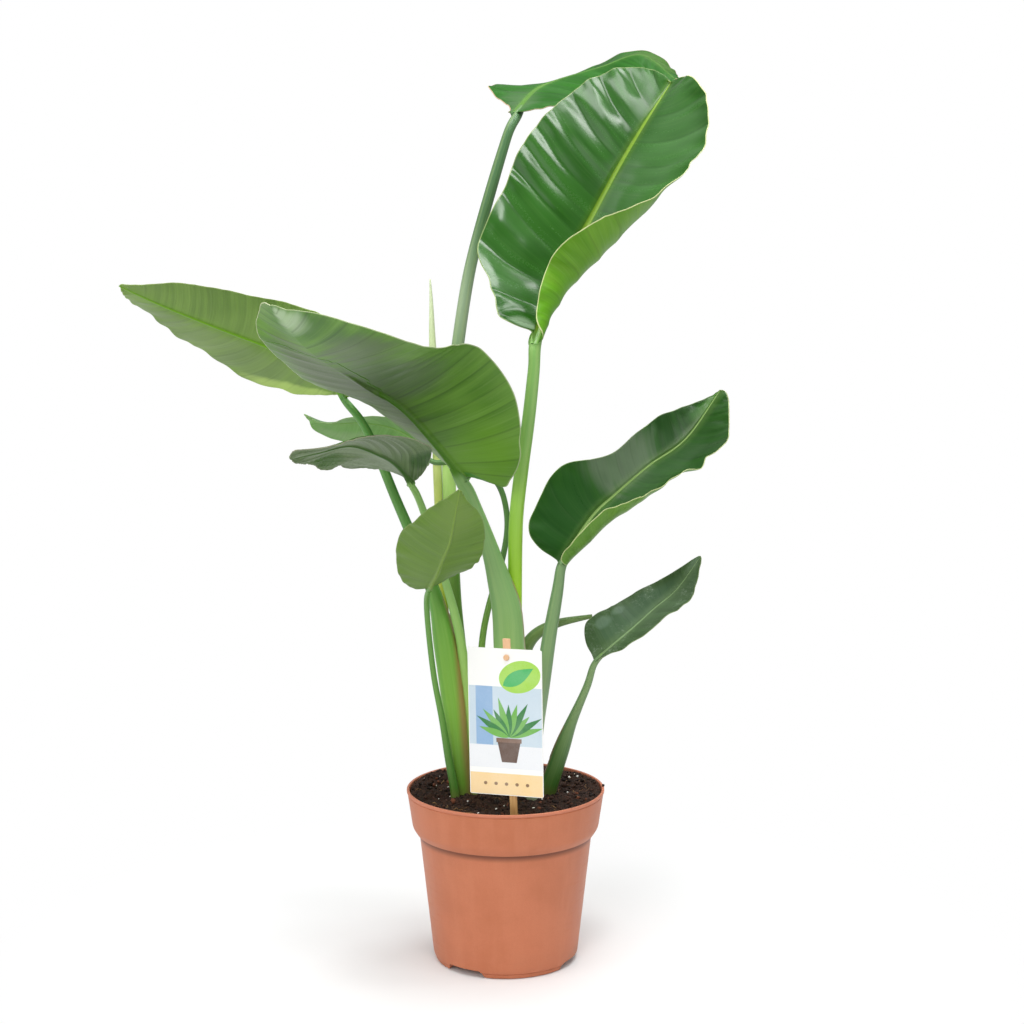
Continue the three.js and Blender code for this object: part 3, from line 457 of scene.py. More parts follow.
def relaxed(points, passes):
    """The points with their bends rounded off and both ends kept."""
    for _ in range(passes):
        points[1:-1] = (points[:-2] + 2 * points[1:-1] + points[2:]) / 4
    return points


def ease(low, high, x):
    """0 below low, 1 above high, and smooth between them."""
    share = np.clip((x - low) / (high - low), 0, 1)
    return share * share * (3 - 2 * share)


# ---------------------------------------------------------------- pieces


def in_scene(name, data):
    made = bpy.data.objects.new(name, data)
    bpy.context.scene.collection.objects.link(made)
    return made


def finished(name, made):
    """A mesh of what a bmesh has built."""
    mesh = bpy.data.meshes.new(name)
    made.to_mesh(mesh)
    made.free()
    return mesh


def shade(mesh, smooth):
    mesh.polygons.foreach_set("use_smooth", np.full(len(mesh.polygons), smooth))


def ring_faces(rings, around, first=0, flip=False):
    """Quads between closed rings of corners that follow each other."""
    faces = []
    for i in range(rings - 1):
        for k in range(around):
            a = first + i * around + k
            b = first + i * around + (k + 1) % around
            faces.append((a, a + around, b + around, b) if flip else (a, b, b + around, a + around))
    return faces


def add_piece(name, corners, faces, materials, replaced=(), indices=None, attributes=None):
    """A mesh piece from corners in millimetres, on the one body of the plant."""
    mesh = bpy.data.meshes.new(name)
    mesh.from_pydata((np.asarray(corners, float).reshape(-1, 3) * MM).tolist(), [], faces)
    shade(mesh, smooth=True)
    for made in materials:
        mesh.materials.append(made)
    if indices is not None:
        mesh.polygons.foreach_set("material_index", np.asarray(indices, np.int32))
    for key, values in (attributes or {}).items():
        layer = mesh.attributes.new(key, "FLOAT_VECTOR", "POINT")
        layer.data.foreach_set("vector", np.asarray(values, np.float32).ravel())
    mesh.validate()
    mesh.update()
    return add_object(name, mesh, replaced)


def add_object(name, mesh, replaced=()):
    piece = in_scene(name, mesh)
    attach(piece, "root")
    if replaced:
        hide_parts(*replaced)
    return piece


# ---------------------------------------------------------------- material helpers


def colour(text):
    """A linear colour from six sRGB hex digits."""
    shares = [int(text[i:i + 2], 16) / 255 for i in (0, 2, 4)]
    return [(c / 12.92 if c <= 0.04045 else ((c + 0.055) / 1.055) ** 2.4) for c in shares] + [1]


class Nodes:
    """The node tree of a material or a world, with one method for each kind of node that is used.
    A value may be a socket, which is linked, or else a number, a tuple or a colour's hex digits."""

    def __init__(self, owner):
        owner.use_nodes = True
        self.tree = owner.node_tree

    def put(self, socket, value):
        if isinstance(value, bpy.types.NodeSocket):
            self.tree.links.new(value, socket)
        else:
            socket.default_value = colour(value) if isinstance(value, str) else value

    def node(self, kind, inputs=(), **settings):
        made = self.tree.nodes.new("ShaderNode" + kind)
        for key, value in settings.items():
            setattr(made, key, value)
        for key, value in dict(inputs).items():
            self.put(made.inputs[key], value)
        return made

    def maths(self, operation, a, b=0.0, clamp=False):
        return self.node("Math", {0: a, 1: b}, operation=operation, use_clamp=clamp).outputs[0]

    def add(self, a, b):
        return self.maths("ADD", a, b)

    def times(self, a, b):
        return self.maths("MULTIPLY", a, b)

    def split(self, vector):
        return self.node("SeparateXYZ", {0: vector}).outputs[:3]

    def combine(self, x, y, z=0.0):
        return self.node("CombineXYZ", {0: x, 1: y, 2: z}).outputs[0]

    def attribute(self, name):
        return self.split(self.node("Attribute", attribute_name=name).outputs["Vector"])

    def position(self):
        return self.node("TexCoord").outputs["Object"]

    def stretched(self, height_scale):
        """The position with its height scaled."""
        return self.node("Mapping", {"Vector": self.position(), "Scale": (1, 1, height_scale)}).outputs[0]

    def noise(self, vector, scale, detail=3.0, roughness=0.55):
        inputs = {"Vector": vector, "Scale": scale, "Detail": detail, "Roughness": roughness}
        return self.node("TexNoise", inputs).outputs["Fac"]

    def grain(self, scale, detail=3.0, roughness=0.55):
        return self.noise(self.position(), scale, detail, roughness)

    def span(self, value, low, high, start=0.0, end=1.0):
        """Maps value from low..high to start..end, smoothly and clamped."""
        inputs = {"Value": value, "From Min": low, "From Max": high, "To Min": start, "To Max": end}
        return self.node("MapRange", inputs, interpolation_type="SMOOTHSTEP").outputs["Result"]

    def blend(self, share, a, b):
        return self.node("Mix", {"Factor": share, 6: a, 7: b}, data_type="RGBA").outputs[2]

    def tint(self, base, value, low, high, tone, strength=1.0):
        """The base with a tone over it: none of it where value is low, and its strength where high."""
        return self.blend(self.span(value, low, high, 0.0, strength), base, tone)

    def bump(self, height, distance, strength=1.0, normal=None):
        inputs = {"Height": height, "Distance": distance, "Strength": strength}
        if normal is not None:
            inputs["Normal"] = normal
        return self.node("Bump", inputs).outputs["Normal"]


class Shader(Nodes):
    def __init__(self, name):
        self.material = bpy.data.materials.new(name)
        super().__init__(self.material)
        self.surface = self.tree.nodes["Principled BSDF"]

    def finish(self, base, rough, normal=None, specular=0.5):
        self.put(self.surface.inputs["Base Color"], base)
        self.put(self.surface.inputs["Roughness"], rough)
        self.surface.inputs["Specular IOR Level"].default_value = specular
        if normal is not None:
            self.put(self.surface.inputs["Normal"], normal)
        return self.material


# ---------------------------------------------------------------- leaf materials


# For each side of a blade: the strengths of its pale and dark streaks, their height in metres and how
# much the side shines if its look doesn't say.
BLADE_SIDES = {"upper": (0.1, 0.2, 0.00004, 0.5), "under": (0.36, 0.35, 0.0002, 0.3)}


def blade_material(name, look, under):
    """One side of a blade. The attributes give the place along the side veins, the distances from
    the midrib and the margin in millimetres, the share of the midrib's half width, the place on the
    leaf and the place among the folds."""
    s = Shader(name)
    side = "under" if under else "upper"
    pale, dark, streak_height, shine = BLADE_SIDES[side]
    vein, from_rib, from_margin = s.attribute("veins")
    rib_share, along, across = s.attribute("place")
    fold, _, _ = s.attribute("fold")
    streaks = s.noise(s.combine(s.times(vein, 1 / FINE_VEIN), s.times(from_rib, 0.008)), 1.0, 3.0, 0.7)
    bands = s.noise(s.combine(s.times(vein, 0.14), s.times(from_rib, 0.01)), 1.0, 2.0)
    broad = s.grain(12.0, 2.0)
    tooth = s.grain(700.0, 2.0, 0.6)
    strip = s.node("TexWhiteNoise", {"W": s.maths("FLOOR", fold)}, noise_dimensions="1D").outputs["Value"]
    tone = s.add(s.add(s.times(bands, 0.5), s.times(broad, 0.5)), s.times(strip, 0.1))
    base = s.tint(look[side][0], tone, 0.36, 0.72, look[side][1])
    for patch in look["patches"]:
        base = add_patch(s, base, along, across, bands, *patch)
    lighter = s.blend(0.35, base, "a9bf7f")
    darker = s.blend(0.6, base, "0c2406")
    base = s.tint(base, streaks, 0.5, 0.78, lighter, pale)
    base = s.tint(base, streaks, 0.48, 0.22, darker, dark)
    # painted shade: dark lines along the creases between the folds
    crease_shade = s.span(s.maths("PINGPONG", fold, 0.5), 0.07, 0.0, 0.0, look["crease_shade"])
    base = s.blend(s.times(crease_shade, s.span(from_rib, 2.0, 12.0)), base, darker)
    rib = s.tint(look["under_rib" if under else "rib"], along, 0.1, 0.0, look["neck_tone"])
    base = s.tint(base, from_rib, 9.0, 1.0, rib, 0.2)
    width = 1 if under else look.get("rib_width", 1)
    base = s.tint(base, rib_share, 1.05 * width, 0.55 * width, rib)
    if "dust" in look:
        base = add_dust(s, base, look["dust"])
    line, left, right, pale_tone = look["margin"]
    strength = s.times(s.span(across, -0.1, 0.1, left, right), s.span(along, 0.02, 0.08))
    base = s.blend(s.times(s.span(from_margin, line, 0.35 * line), strength), base, pale_tone)
    rough = s.add(s.span(bands, 0.3, 0.7, -0.03, 0.06), look["gloss"][1 if under else 0])
    rough = s.add(rough, s.span(tooth, 0.3, 0.8, -0.02, 0.03))
    relief = s.bump(streaks, streak_height, 0.8)
    if under and "rib_line" in look:
        relief = s.bump(s.span(rib_share, 1.0, 0.3), 0.0012, 0.7, relief)
    shine = look.get("under_shine" if under else "shine", shine)
    return s.finish(base, rough, s.bump(tooth, 0.00003, 0.5, relief), shine)


def add_patch(s, base, along, across, bands, place, share, length, width, tone, strength):
    """A tinted area of a blade, with an uneven edge. Some are tones of the leaf itself, some painted
    highlights and sheen.
    """
    ahead = s.times(s.maths("SUBTRACT", along, place), 1 / length)
    aside = s.times(s.maths("SUBTRACT", across, share), 1 / width)
    uneven = s.times(s.maths("SUBTRACT", bands, 0.5), 1.2)
    away = s.add(s.add(s.times(ahead, ahead), s.times(aside, aside)), uneven)
    return s.tint(base, away, 1.1, 0.15, tone, strength)


def add_dust(s, base, strength):
    """Grey specks in clouds."""
    specks = s.grain(420.0, 3.0, 0.8)
    clouds = s.grain(34.0, 4.0, 0.7)
    grey = s.times(s.span(specks, 0.5, 0.75), s.span(clouds, 0.45, 0.7))
    grey = s.maths("ADD", grey, s.span(clouds, 0.55, 0.8, 0.0, 0.5), clamp=True)
    return s.blend(s.times(grey, strength), base, "93a58f")


def stalk_material(name, look):
    """A stalk that changes from its lower to its upper tone, with lengthwise striae."""
    s = Shader(name)
    angle, height, from_edge = s.attribute("stalk")
    share, in_rib, _ = s.attribute("place")
    x, y = [s.times(s.maths(axis, angle), 5.0) for axis in ("COSINE", "SINE")]
    around = s.combine(x, s.times(height, 0.006), y)
    striae = s.noise(around, 2.2, 3.0, 0.7)
    broad = s.noise(around, 0.35, 2.0)
    tooth = s.grain(700.0, 2.0, 0.6)
    middle = look.get("turn", 0.45)
    run = look.get("turning", 0.3)
    base = s.tint(look["low"], share, middle - run, middle + run, look["high"])
    for tone, place, reach in look.get("bands", ()):
        away = s.maths("ABSOLUTE", s.maths("SUBTRACT", share, place))
        base = s.tint(base, away, reach, 0.0, tone)
    pale = s.blend(0.4, base, "d4e08c")
    dark = s.blend(0.5, base, "1d3a14")
    base = s.tint(base, broad, 0.4, 0.65, pale, 0.25)
    base = s.tint(base, striae, 0.52, 0.75, pale, look.get("stripe", 0.3))
    base = s.tint(base, striae, 0.46, 0.25, dark, look.get("furrow", 0.16))
    base = s.tint(base, from_edge, look.get("edge_reach", 4.5), 0.8, look.get("edge", "a07c58"), 0.75)
    # painted shade: the stalk darkens above the soil, by the look's foot strength
    base = s.tint(base, height, 260.0, 170.0, s.blend(0.75, base, "1f4410"), look.get("foot", 0.6))
    base = s.tint(base, height, 175.0, 160.0, "6b5a34", 0.45)
    if "rib" in look:
        base = s.tint(base, in_rib, 0.1, 0.8, look["rib"])
    normal = s.bump(tooth, 0.00004, 0.5, s.bump(striae, 0.0002, 0.8))
    return s.finish(base, s.span(striae, 0.3, 0.7, 0.32, 0.44), normal, 0.4)


# ---------------------------------------------------------------- leaf blades


def midrib_place(s):
    """The share of the midrib at a row's share s: the rows lie closer at the base and the tip."""
    return (1 - np.cos(np.pi * s)) / 2


def facing_at(leaf, t):
    along = direction(leaf["midrib"], t)
    facing = smooth(leaf["facing"], t)
    return unit(facing - (facing * along).sum(-1, keepdims=True) * along)


CURL_SOFTNESS = 8  # how sharply a curl stops growing where a half's reach is full
SWEEP_POWER = 1.5  # of the share of the reach, by which the side veins run forward


def half_grid(leaf, half, side, s, shares, reach, ahead):
    """Points on one half of a blade, by row and share, as the CAD model has them, and pushed ahead."""
    t = midrib_place(s)
    along = direction(leaf["midrib"], t)
    facing = facing_at(leaf, t)
    across = np.cross(along, facing) * side
    rise = np.radians(smooth(half["rise"], s))
    fullness = reach / CURL_FULL_REACH
    softened = fullness / (1 + fullness**CURL_SOFTNESS) ** (1 / CURL_SOFTNESS)
    curl = np.radians(smooth(half["curl"], s)) * softened
    amplitude, count, start = half["wave"]
    margin = amplitude * np.sin(np.pi * s) * np.sin(2 * np.pi * (count * s + start))
    steps = (np.arange(CURL_STEPS) + 0.5) / CURL_STEPS
    angle = rise[:, None, None] + curl[:, None, None] * shares[:, :, None] * steps
    out = np.cos(angle).mean(-1) * shares * reach[:, None]
    up = np.sin(angle).mean(-1) * shares * reach[:, None] + margin[:, None] * shares**2
    forward = smooth(VEIN_SWEEP, s)[:, None] * reach[:, None] * shares**SWEEP_POWER + ahead
    return (
        smooth(leaf["midrib"], t)[:, None]
        + across[:, None] * out[..., None]
        + facing[:, None] * up[..., None]
        + along[:, None] * forward[..., None]
    )


RIB_MOST = 0.45  # the most of a half's reach that its rib and its margin's bead take
BEAD_MOST = 0.2


def half_shares(reach, rib_half):
    """The shares of the reach at which one half has its columns, by row."""
    rib = np.minimum(RIB_MOST, rib_half / reach)[:, None]
    bead = np.minimum(BEAD_MOST, MARGIN_BEAD / reach)[:, None]
    inner = rib * np.array(RIB_COLUMNS)
    outer = rib + (1 - rib - bead) * np.arange(1, BLADE_COLUMNS + 1) / BLADE_COLUMNS
    return np.hstack([inner, outer, np.ones_like(rib)])


def vein_place(leaf, look, s, shares, reach):
    """Where on the midrib the side vein through each point starts, in millimetres from the base."""
    length = run_along(smooth(leaf["midrib"], midrib_place(s)))
    sweep = smooth(VEIN_SWEEP, s)[:, None]
    run = SWEEP_SHARES[0] * shares + SWEEP_SHARES[1] * shares**2
    return length[:, None] + reach[:, None] * (sweep * shares**SWEEP_POWER - (sweep + look["lean"]) * run)


FOLDS = 60  # drawn for each half, from well before its base
FOLDS_BEFORE = 12
FOLD_WIDTHS = (0.55, 1.35)  # drawn widths per spacing, and depths per pleat
FOLD_DEPTHS = (0.35, 1.3)
FOLDS_RISE = (0.04, 0.5)  # the shares of the reach between which they grow to their full depth
FOLDS_SINK = (0.85, 1)  # and between which they lose some of it
FOLDS_LOST = 0.35
FOLDS_GROWN = 0.12  # the place along the leaf from which the folds are at their full depth


def pleats(place, shares, look, side):
    """The height of the folds between the side veins, and the place among them."""
    draw = np.random.default_rng(look["seed"] + side)
    widths = look["spacing"] * draw.uniform(*FOLD_WIDTHS, FOLDS)
    creases = np.cumsum(widths) - FOLDS_BEFORE * look["spacing"]
    i = np.clip(np.searchsorted(creases, place), 1, FOLDS - 1)
    f = np.clip((place - creases[i - 1]) / (creases[i] - creases[i - 1]), 0, 1)
    strength = of_side(look, "pleat_sides", side)
    depth = strength * look["pleat"] * widths[i] * draw.uniform(*FOLD_DEPTHS, FOLDS)[i]
    profile = ease(*FOLDS_RISE, shares) * (1 - FOLDS_LOST * ease(*FOLDS_SINK, shares))
    rise = np.where(f < PLEAT_PEAK, f / PLEAT_PEAK, (1 - f) / (1 - PLEAT_PEAK))
    return depth * np.sin(np.pi / 2 * rise) * profile, i + f


def edged(reach, s, edges):
    """The reach with a half's bites and lobes: their places, half lengths and depths."""
    for place, run, depth in edges:
        reach = reach - depth * np.exp(-(((s - place) / run) ** 2))
    return reach


def frill(s, length, seed):
    """The small waves of a margin."""
    draw = np.random.default_rng(seed)
    waves = [np.sin(2 * np.pi * (s * length / wave + draw.random())) for wave in FRILL_LENGTHS]
    return FRILL * sum(waves) * np.sin(np.pi * s) ** 0.5


def of_side(look, key, side):
    """A look's strength for the left or the right half, or 1."""
    return look.get(key, (1, 1))[0 if side < 0 else 1]


FAR = 9  # rib half widths at which a point is simply off the rib
LINE_SMOOTHING = 4
LINE_TAPER = 0.5  # how much narrower than the midrib such a rib is at its end
LINE_LEAST = 0.9  # mm, its least half width


def from_line(grid, s, across, line, rib_half):
    """The distance in millimetres from a rib that leaves the midrib, through places [place along the
    leaf, signed share], and the same in half widths of the rib."""
    wanted = smooth(line, np.linspace(0, 1, RIB_LINE_STEPS))
    points = []
    for place, share in wanted:
        row = np.argmin(np.abs(s - place))
        column = np.argmin(np.abs(across[row] - share))
        points.append(grid[row, column])
    points = relaxed(np.array(points), LINE_SMOOTHING)
    away = np.linalg.norm(grid[:, :, None] - points, axis=-1)
    nearest = away.argmin(-1)
    distance = away.min(-1)
    taper = 1 - LINE_TAPER * nearest / RIB_LINE_STEPS
    half = np.maximum(np.interp(wanted[nearest, 0], s, rib_half) * taper, LINE_LEAST)
    return distance, np.minimum(distance / half, FAR)


def grid_normals(grid):
    return unit(np.cross(np.gradient(grid, axis=1), np.gradient(grid, axis=0)))


BASE_END = 0.06  # the place along the leaf where its base reaches its full width
BASE_SHARE = 0.12  # of that width at the very base
LEAST_REACH = 0.3
GROOVE_DEPTH = 0.3  # of the rib's half width
RIB_ROUNDNESS = 0.7  # less is a flatter rib with steeper sides
RIB_FADES = (0.62, 0.5)  # where along the leaf the midrib ends, if the rib below leaves it
EXTRA_ROWS = 40


def blade_half(leaf, look, key, s, rib_half, length):
    """One half's grid and its fields: the place of the side vein, the distances from the midrib and
    the margin, the share of the rib's half width, the height of the folds, the signed share of the
    reach and the place among the folds."""
    side = -1 if key == "left" else 1
    half = leaf[key]
    grown = ease(0, BASE_END, s)
    reach = edged(smooth(half["reach"], s), s, look.get("edges", {}).get(key, []))
    reach = np.maximum(reach * (BASE_SHARE + (1 - BASE_SHARE) * grown), LEAST_REACH)
    lobes = edged(np.zeros(len(s)), s, look.get("lobes", {}).get(key, []))
    shares = half_shares(reach, rib_half)
    ahead = lobes[:, None] * shares**2 - look.get("tongue", 0) * (1 - grown)[:, None]
    grid = half_grid(leaf, half, side, s, shares, reach, ahead)
    place = vein_place(leaf, look, s, shares, reach)
    rib_distance = shares * reach[:, None]
    rib_share = np.minimum(rib_distance / rib_half[:, None], FAR)
    folds, fold_place = pleats(place, shares, look, side)
    waves = frill(s, length, look["seed"] + side)[:, None]
    folds += of_side(look, "frill", side) * waves * ease(FRILL_FROM, 1, shares)
    folds *= ease(0, FOLDS_GROWN, s)[:, None]
    from_margin = (1 - shares) * reach[:, None]
    return grid, np.stack([place, rib_distance, from_margin, rib_share, folds, side * shares, fold_place])


def blade_faces(rows, columns):
    """The faces and material indices of a blade's rings, which run over its upper side, round the
    right margin, back over its under side and round the left margin."""
    around = 2 * columns + 2
    faces = ring_faces(rows, around)
    indices = [0 if k < columns else 1 for k in range(around)] * (rows - 1)
    for row, flip in ((0, True), (rows - 1, False)):
        start = row * around
        end = start + around
        caps = [(start + k, start + k + 1, end - 3 - k, end - 2 - k) for k in range(columns - 1)]
        caps += [(start + columns - 1, start + columns, start + columns + 1), (start, end - 2, end - 1)]
        faces += [face[::-1] if flip else face for face in caps]
        indices += [1] * len(caps)
    return faces, indices


def blade_piece(name, leaf, look):
    length = run_along(leaf["midrib"])[-1]
    rows = int(length * ROWS_PER_MM) + EXTRA_ROWS
    s = np.linspace(0, 1, rows)
    rib_half = leaf["neck"] * smooth(RIB_HALF_WIDTH, s)
    (left, left_fields), (right, right_fields) = [
        blade_half(leaf, look, key, s, rib_half, length) for key in ("left", "right")
    ]
    grid = np.concatenate([left[:, :0:-1], right], axis=1)
    fields = np.concatenate([left_fields[:, :, :0:-1], right_fields], axis=2)
    place, rib_distance, margin_distance, rib_share, folds, across, fold_place = fields
    grid = grid + grid_normals(grid) * folds[..., None]
    normals = grid_normals(grid)
    inside = np.clip(1 - rib_share**2, 0, 1)
    distance_below, share_below = rib_distance, rib_share
    if "rib_line" in look:
        inside *= ease(*RIB_FADES, s)[:, None]
        distance_below, share_below = from_line(grid, s, across, look["rib_line"], rib_half)
    groove = GROOVE_DEPTH * rib_half[:, None] * inside
    depth = (leaf["neck"] * smooth(RIB_DEPTH, s))[:, None] * inside**RIB_ROUNDNESS
    half_thick = np.where(margin_distance < MARGIN_BEAD, MARGIN_THICKNESS, BLADE_THICKNESS) / 2
    upper = grid + normals * (half_thick - groove)[..., None]
    lower = grid - normals * (half_thick + depth)[..., None]
    left_edge = grid[:, :1] + unit(grid[:, :1] - grid[:, 1:2]) * MARGIN_THICKNESS / 2
    right_edge = grid[:, -1:] + unit(grid[:, -1:] - grid[:, -2:-1]) * MARGIN_THICKNESS / 2
    ring = np.concatenate([upper, right_edge, lower[:, ::-1], left_edge], axis=1)

    def ringed(field, below=None):
        below = field if below is None else below
        return np.concatenate([field, field[:, -1:], below[:, ::-1], field[:, :1]], axis=1)

    s_grid = np.broadcast_to(s[:, None], place.shape)
    attributes = {
        "veins": [ringed(place), ringed(rib_distance, distance_below), ringed(margin_distance)],
        "place": [ringed(rib_share, share_below), ringed(s_grid), ringed(across)],
        "fold": [ringed(fold_place)] * 3,
    }
    materials = [blade_material(f"{name}_upper", look, False), blade_material(f"{name}_under", look, True)]
    faces, indices = blade_faces(rows, grid.shape[1])
    return add_piece(
        f"{name}_blade", ring, faces, materials, [f"leaf_{name}_blade"], indices,
        {key: np.stack(parts, -1) for key, parts in attributes.items()},
    )


# ---------------------------------------------------------------- stalks

# The tones low and high change into each other round the share turn of the length, over turning on
# each side of it. Bands are tinted: tone, place and half length. Some of these tones and bands are
# painted highlights and painted shade. Stripe and furrow are the strengths of the pale and dark
# striae, foot that of the painted shade that darkens the stalk above the soil. A sheath is an edge
# that runs up the stalk at these angles in degrees and ends at the share top, edge is its tone and
# edge_reach the width of that tone in mm. Widest is the width at the bend under the blade.
STALK_LOOKS = {
    "upper_front": dict(low="98cc04", high="82b060", turn=0.66, turning=0.24, stripe=0.12, widest=12),
    "upper_back": dict(
        # its dark low tone is painted shade between the stalks, and the pale grey band at 0.73 a painted
        # highlight
        low="5c8c30", high="4a7048", turn=0.68, turning=0.15, widest=9.5,
        bands=[("c0e884", 0.54, 0.14), ("90a486", 0.73, 0.13)],
    ),
    "far_left": dict(
        low="78b430", high="4c8a3c", widest=7.5, edge="a4744c", edge_reach=9,
        sheath=dict(angle=[-20, -40, 20], top=0.55),
    ),
    "broad_left": dict(low="8cb85c", high="78a262", widest=13.5, sheath=dict(angle=[20, 10, 0], top=0.72)),
    "slim_left": dict(low="8ab848", high="42743a"),
    "arched_left": dict(low="98c458", high="88b864", widest=6.6),
    "small_front": dict(low="4a8a28", high="528c38"),
    # the pale low tone of right_high is a painted highlight on the waxy stalk
    "right_high": dict(low="b4ccac", high="6c8e60", turn=0.4, turning=0.26, widest=9.5, foot=0.1),
    "right_low": dict(low="3e7e20", high="6a8a5c", sheath=dict(angle=[200, 190, 180], top=0.62)),
}
STALK_SIDES = 28
STALK_STEP = 2.2  # mm between a stalk's rings
PATH_SMOOTHING = 26  # passes that round a stalk's bend under its blade
RIB_RUN = [0.0, 0.04, 0.08, 0.12, 0.16]  # places along the leaf that its stalk runs on to
IN_RIB_TAPER = 0.22  # how much narrower than the rib a stalk gets on its way into it
IN_RIB_DEPTH = 0.9  # of the rib's depth
IN_RIB_DROP = 1.8  # the part of its depth that its middle lies below the blade, as a divisor


def stalk_path(leaf, widest):
    """The points [x, y, z, width, depth] of a stalk up to its blade and on, under the midrib, into the
    rib that it becomes."""
    zero = np.array([0.0])
    along = direction(leaf["midrib"], zero)[0]
    facing = facing_at(leaf, zero)[0]
    neck = leaf["neck"]
    drop = (BLADE_THICKNESS + STALK_DEPTH * neck) / 2 + CLEARANCE
    end = np.array(leaf["midrib"][0]) - along * NECK_GAP - facing * drop
    bend = end - along * NECK_LENGTH
    points = oval_path(leaf["stalk"])
    points += [[*bend, widest, widest * STALK_DEPTH]]
    for s in RIB_RUN:
        t = np.array([midrib_place(s)])
        run = s / RIB_RUN[-1]
        wider = 1 + (widest / neck - 1) * (1 - run)
        width = 2 * neck * smooth(RIB_HALF_WIDTH, s) * (1 - IN_RIB_TAPER * run) * wider
        depth = neck * smooth(RIB_DEPTH, s) * IN_RIB_DEPTH * wider
        below = facing_at(leaf, t)[0] * (BLADE_THICKNESS / 2 + depth / IN_RIB_DROP)
        points.append([*(smooth(leaf["midrib"], t)[0] - below), width, depth])
    return points


FINE_STEPS = 600  # along a stalk's path


def tube(points, rib_start=None):
    """Rings of an oval stalk at even steps along its points: their middles, the axes across and
    through them, half widths and half depths, the share of the length of each, and how far each is
    into the rib."""
    fine = smooth(points, np.linspace(0, 1, FINE_STEPS))
    run = run_along(fine[:, :3])
    rings = int(run[-1] / STALK_STEP) + 2
    t = np.linspace(0, 1, rings)
    sizes = np.stack([np.interp(t * run[-1], run, fine[:, k]) for k in range(5)], -1)
    sizes = relaxed(sizes, PATH_SMOOTHING)
    centre = sizes[:, :3]
    along = unit(np.gradient(centre, axis=0))
    across = unit(np.cross([0.0, 1.0, 0.0], along))
    through = np.cross(along, across)
    in_rib = np.zeros(rings)
    if rib_start is not None:
        start = run[min(FINE_STEPS - 1, int((FINE_STEPS - 1) * rib_start))] / run[-1]
        in_rib = np.clip((t - start) / (1 - start), 0, 1)
        t = np.clip(t / start, 0, 1)
    return centre, across, through, sizes[:, 3] / 2, sizes[:, 4] / 2, t, in_rib


def oval_path(points):
    return [[x, y, z, width, width * STALK_DEPTH] for x, y, z, width in points]


GROOVE_HALF_ANGLE = 0.5  # radians
SHEATH_STEP = 0.07  # how far a sheath's edge stands out, per half width
SHEATH_STEP_ANGLE = 0.16
SHEATH_FADE = 0.03  # of the length, where the sheath ends
SHEATH_SOFT_END = 30  # mm that the distance from the edge grows by where it ends
NO_EDGE = 99.0  # mm
RIPPLE = 0.02  # of the half width
RIPPLES_AROUND = 1.3
RIPPLES_ALONG = 0.03  # per mm


def sheathed(sheath, angle, t, half):
    """How far a sheath makes a stalk stand out, and the distance from its edge in millimetres."""
    edge = np.radians(smooth(sheath["angle"], np.clip(t / sheath["top"], 0, 1)))[:, None]
    gap = (angle - edge + np.pi) % (2 * np.pi) - np.pi
    on = ease(sheath["top"] + SHEATH_FADE, sheath["top"] - SHEATH_FADE, t)[:, None]
    step = on * np.where(gap > 0, SHEATH_STEP * np.exp(-gap / SHEATH_STEP_ANGLE), 0)
    return step, np.where(on > 0.01, np.abs(gap) * half[:, None] + SHEATH_SOFT_END * (1 - on), NO_EDGE)


def stalk_piece(name, points, look, replaced, rib_start=None, groove=0.05):
    centre, across, through, half, half_depth, t, in_rib = tube(points, rib_start)
    angle = 2 * np.pi * (np.arange(STALK_SIDES) + 0.5) / STALK_SIDES
    rings = len(t)
    shape = np.ones((rings, STALK_SIDES))
    from_front = (angle - np.pi / 2 + np.pi) % (2 * np.pi) - np.pi
    shape -= groove * np.exp(-((from_front / GROOVE_HALF_ANGLE) ** 2))
    from_edge = np.full(shape.shape, NO_EDGE)
    if "sheath" in look:
        step, from_edge = sheathed(look["sheath"], angle, t, half)
        shape += step
    around = [(math.cos(a) * RIPPLES_AROUND, math.sin(a) * RIPPLES_AROUND) for a in angle]
    shape += [
        [RIPPLE * noise.noise(Vector((x, y, z * RIPPLES_ALONG))) for x, y in around] for z in centre[:, 2]
    ]
    corners = (
        centre[:, None]
        + across[:, None] * (half[:, None] * shape * np.cos(angle))[..., None]
        + through[:, None] * (half_depth[:, None] * shape * np.sin(angle))[..., None]
    )
    faces = ring_faces(rings, STALK_SIDES)
    faces.append(tuple(range(STALK_SIDES))[::-1])
    faces.append(tuple(range((rings - 1) * STALK_SIDES, rings * STALK_SIDES)))

    def spread(*fields):
        return np.stack([np.broadcast_to(field, shape.shape) for field in fields], -1)

    attributes = {
        "stalk": spread(angle, centre[:, 2:], from_edge),
        "place": spread(t[:, None], in_rib[:, None], 0),
    }
    made = [stalk_material(f"{name}_skin", look)]
    return add_piece(name, corners, faces, made, replaced, attributes=attributes)


# ---------------------------------------------------------------- pot


def fillet(points, steps=4):
    """An outline of [x, z, radius] points with its corners rounded."""
    made = []
    for i, (x, z, radius) in enumerate(points):
        here = np.array([x, z], float)
        if radius == 0 or i in (0, len(points) - 1):
            made.append(here)
            continue
        before = np.array(points[i - 1][:2], float) - here
        after = np.array(points[i + 1][:2], float) - here
        reach = min(radius, np.linalg.norm(before) / 2.1, np.linalg.norm(after) / 2.1)
        start = here + unit(before) * reach
        end = here + unit(after) * reach
        for k in range(steps + 1):
            f = k / steps
            made.append((1 - f) ** 2 * start + 2 * f * (1 - f) * here + f**2 * end)
    return np.array(made)


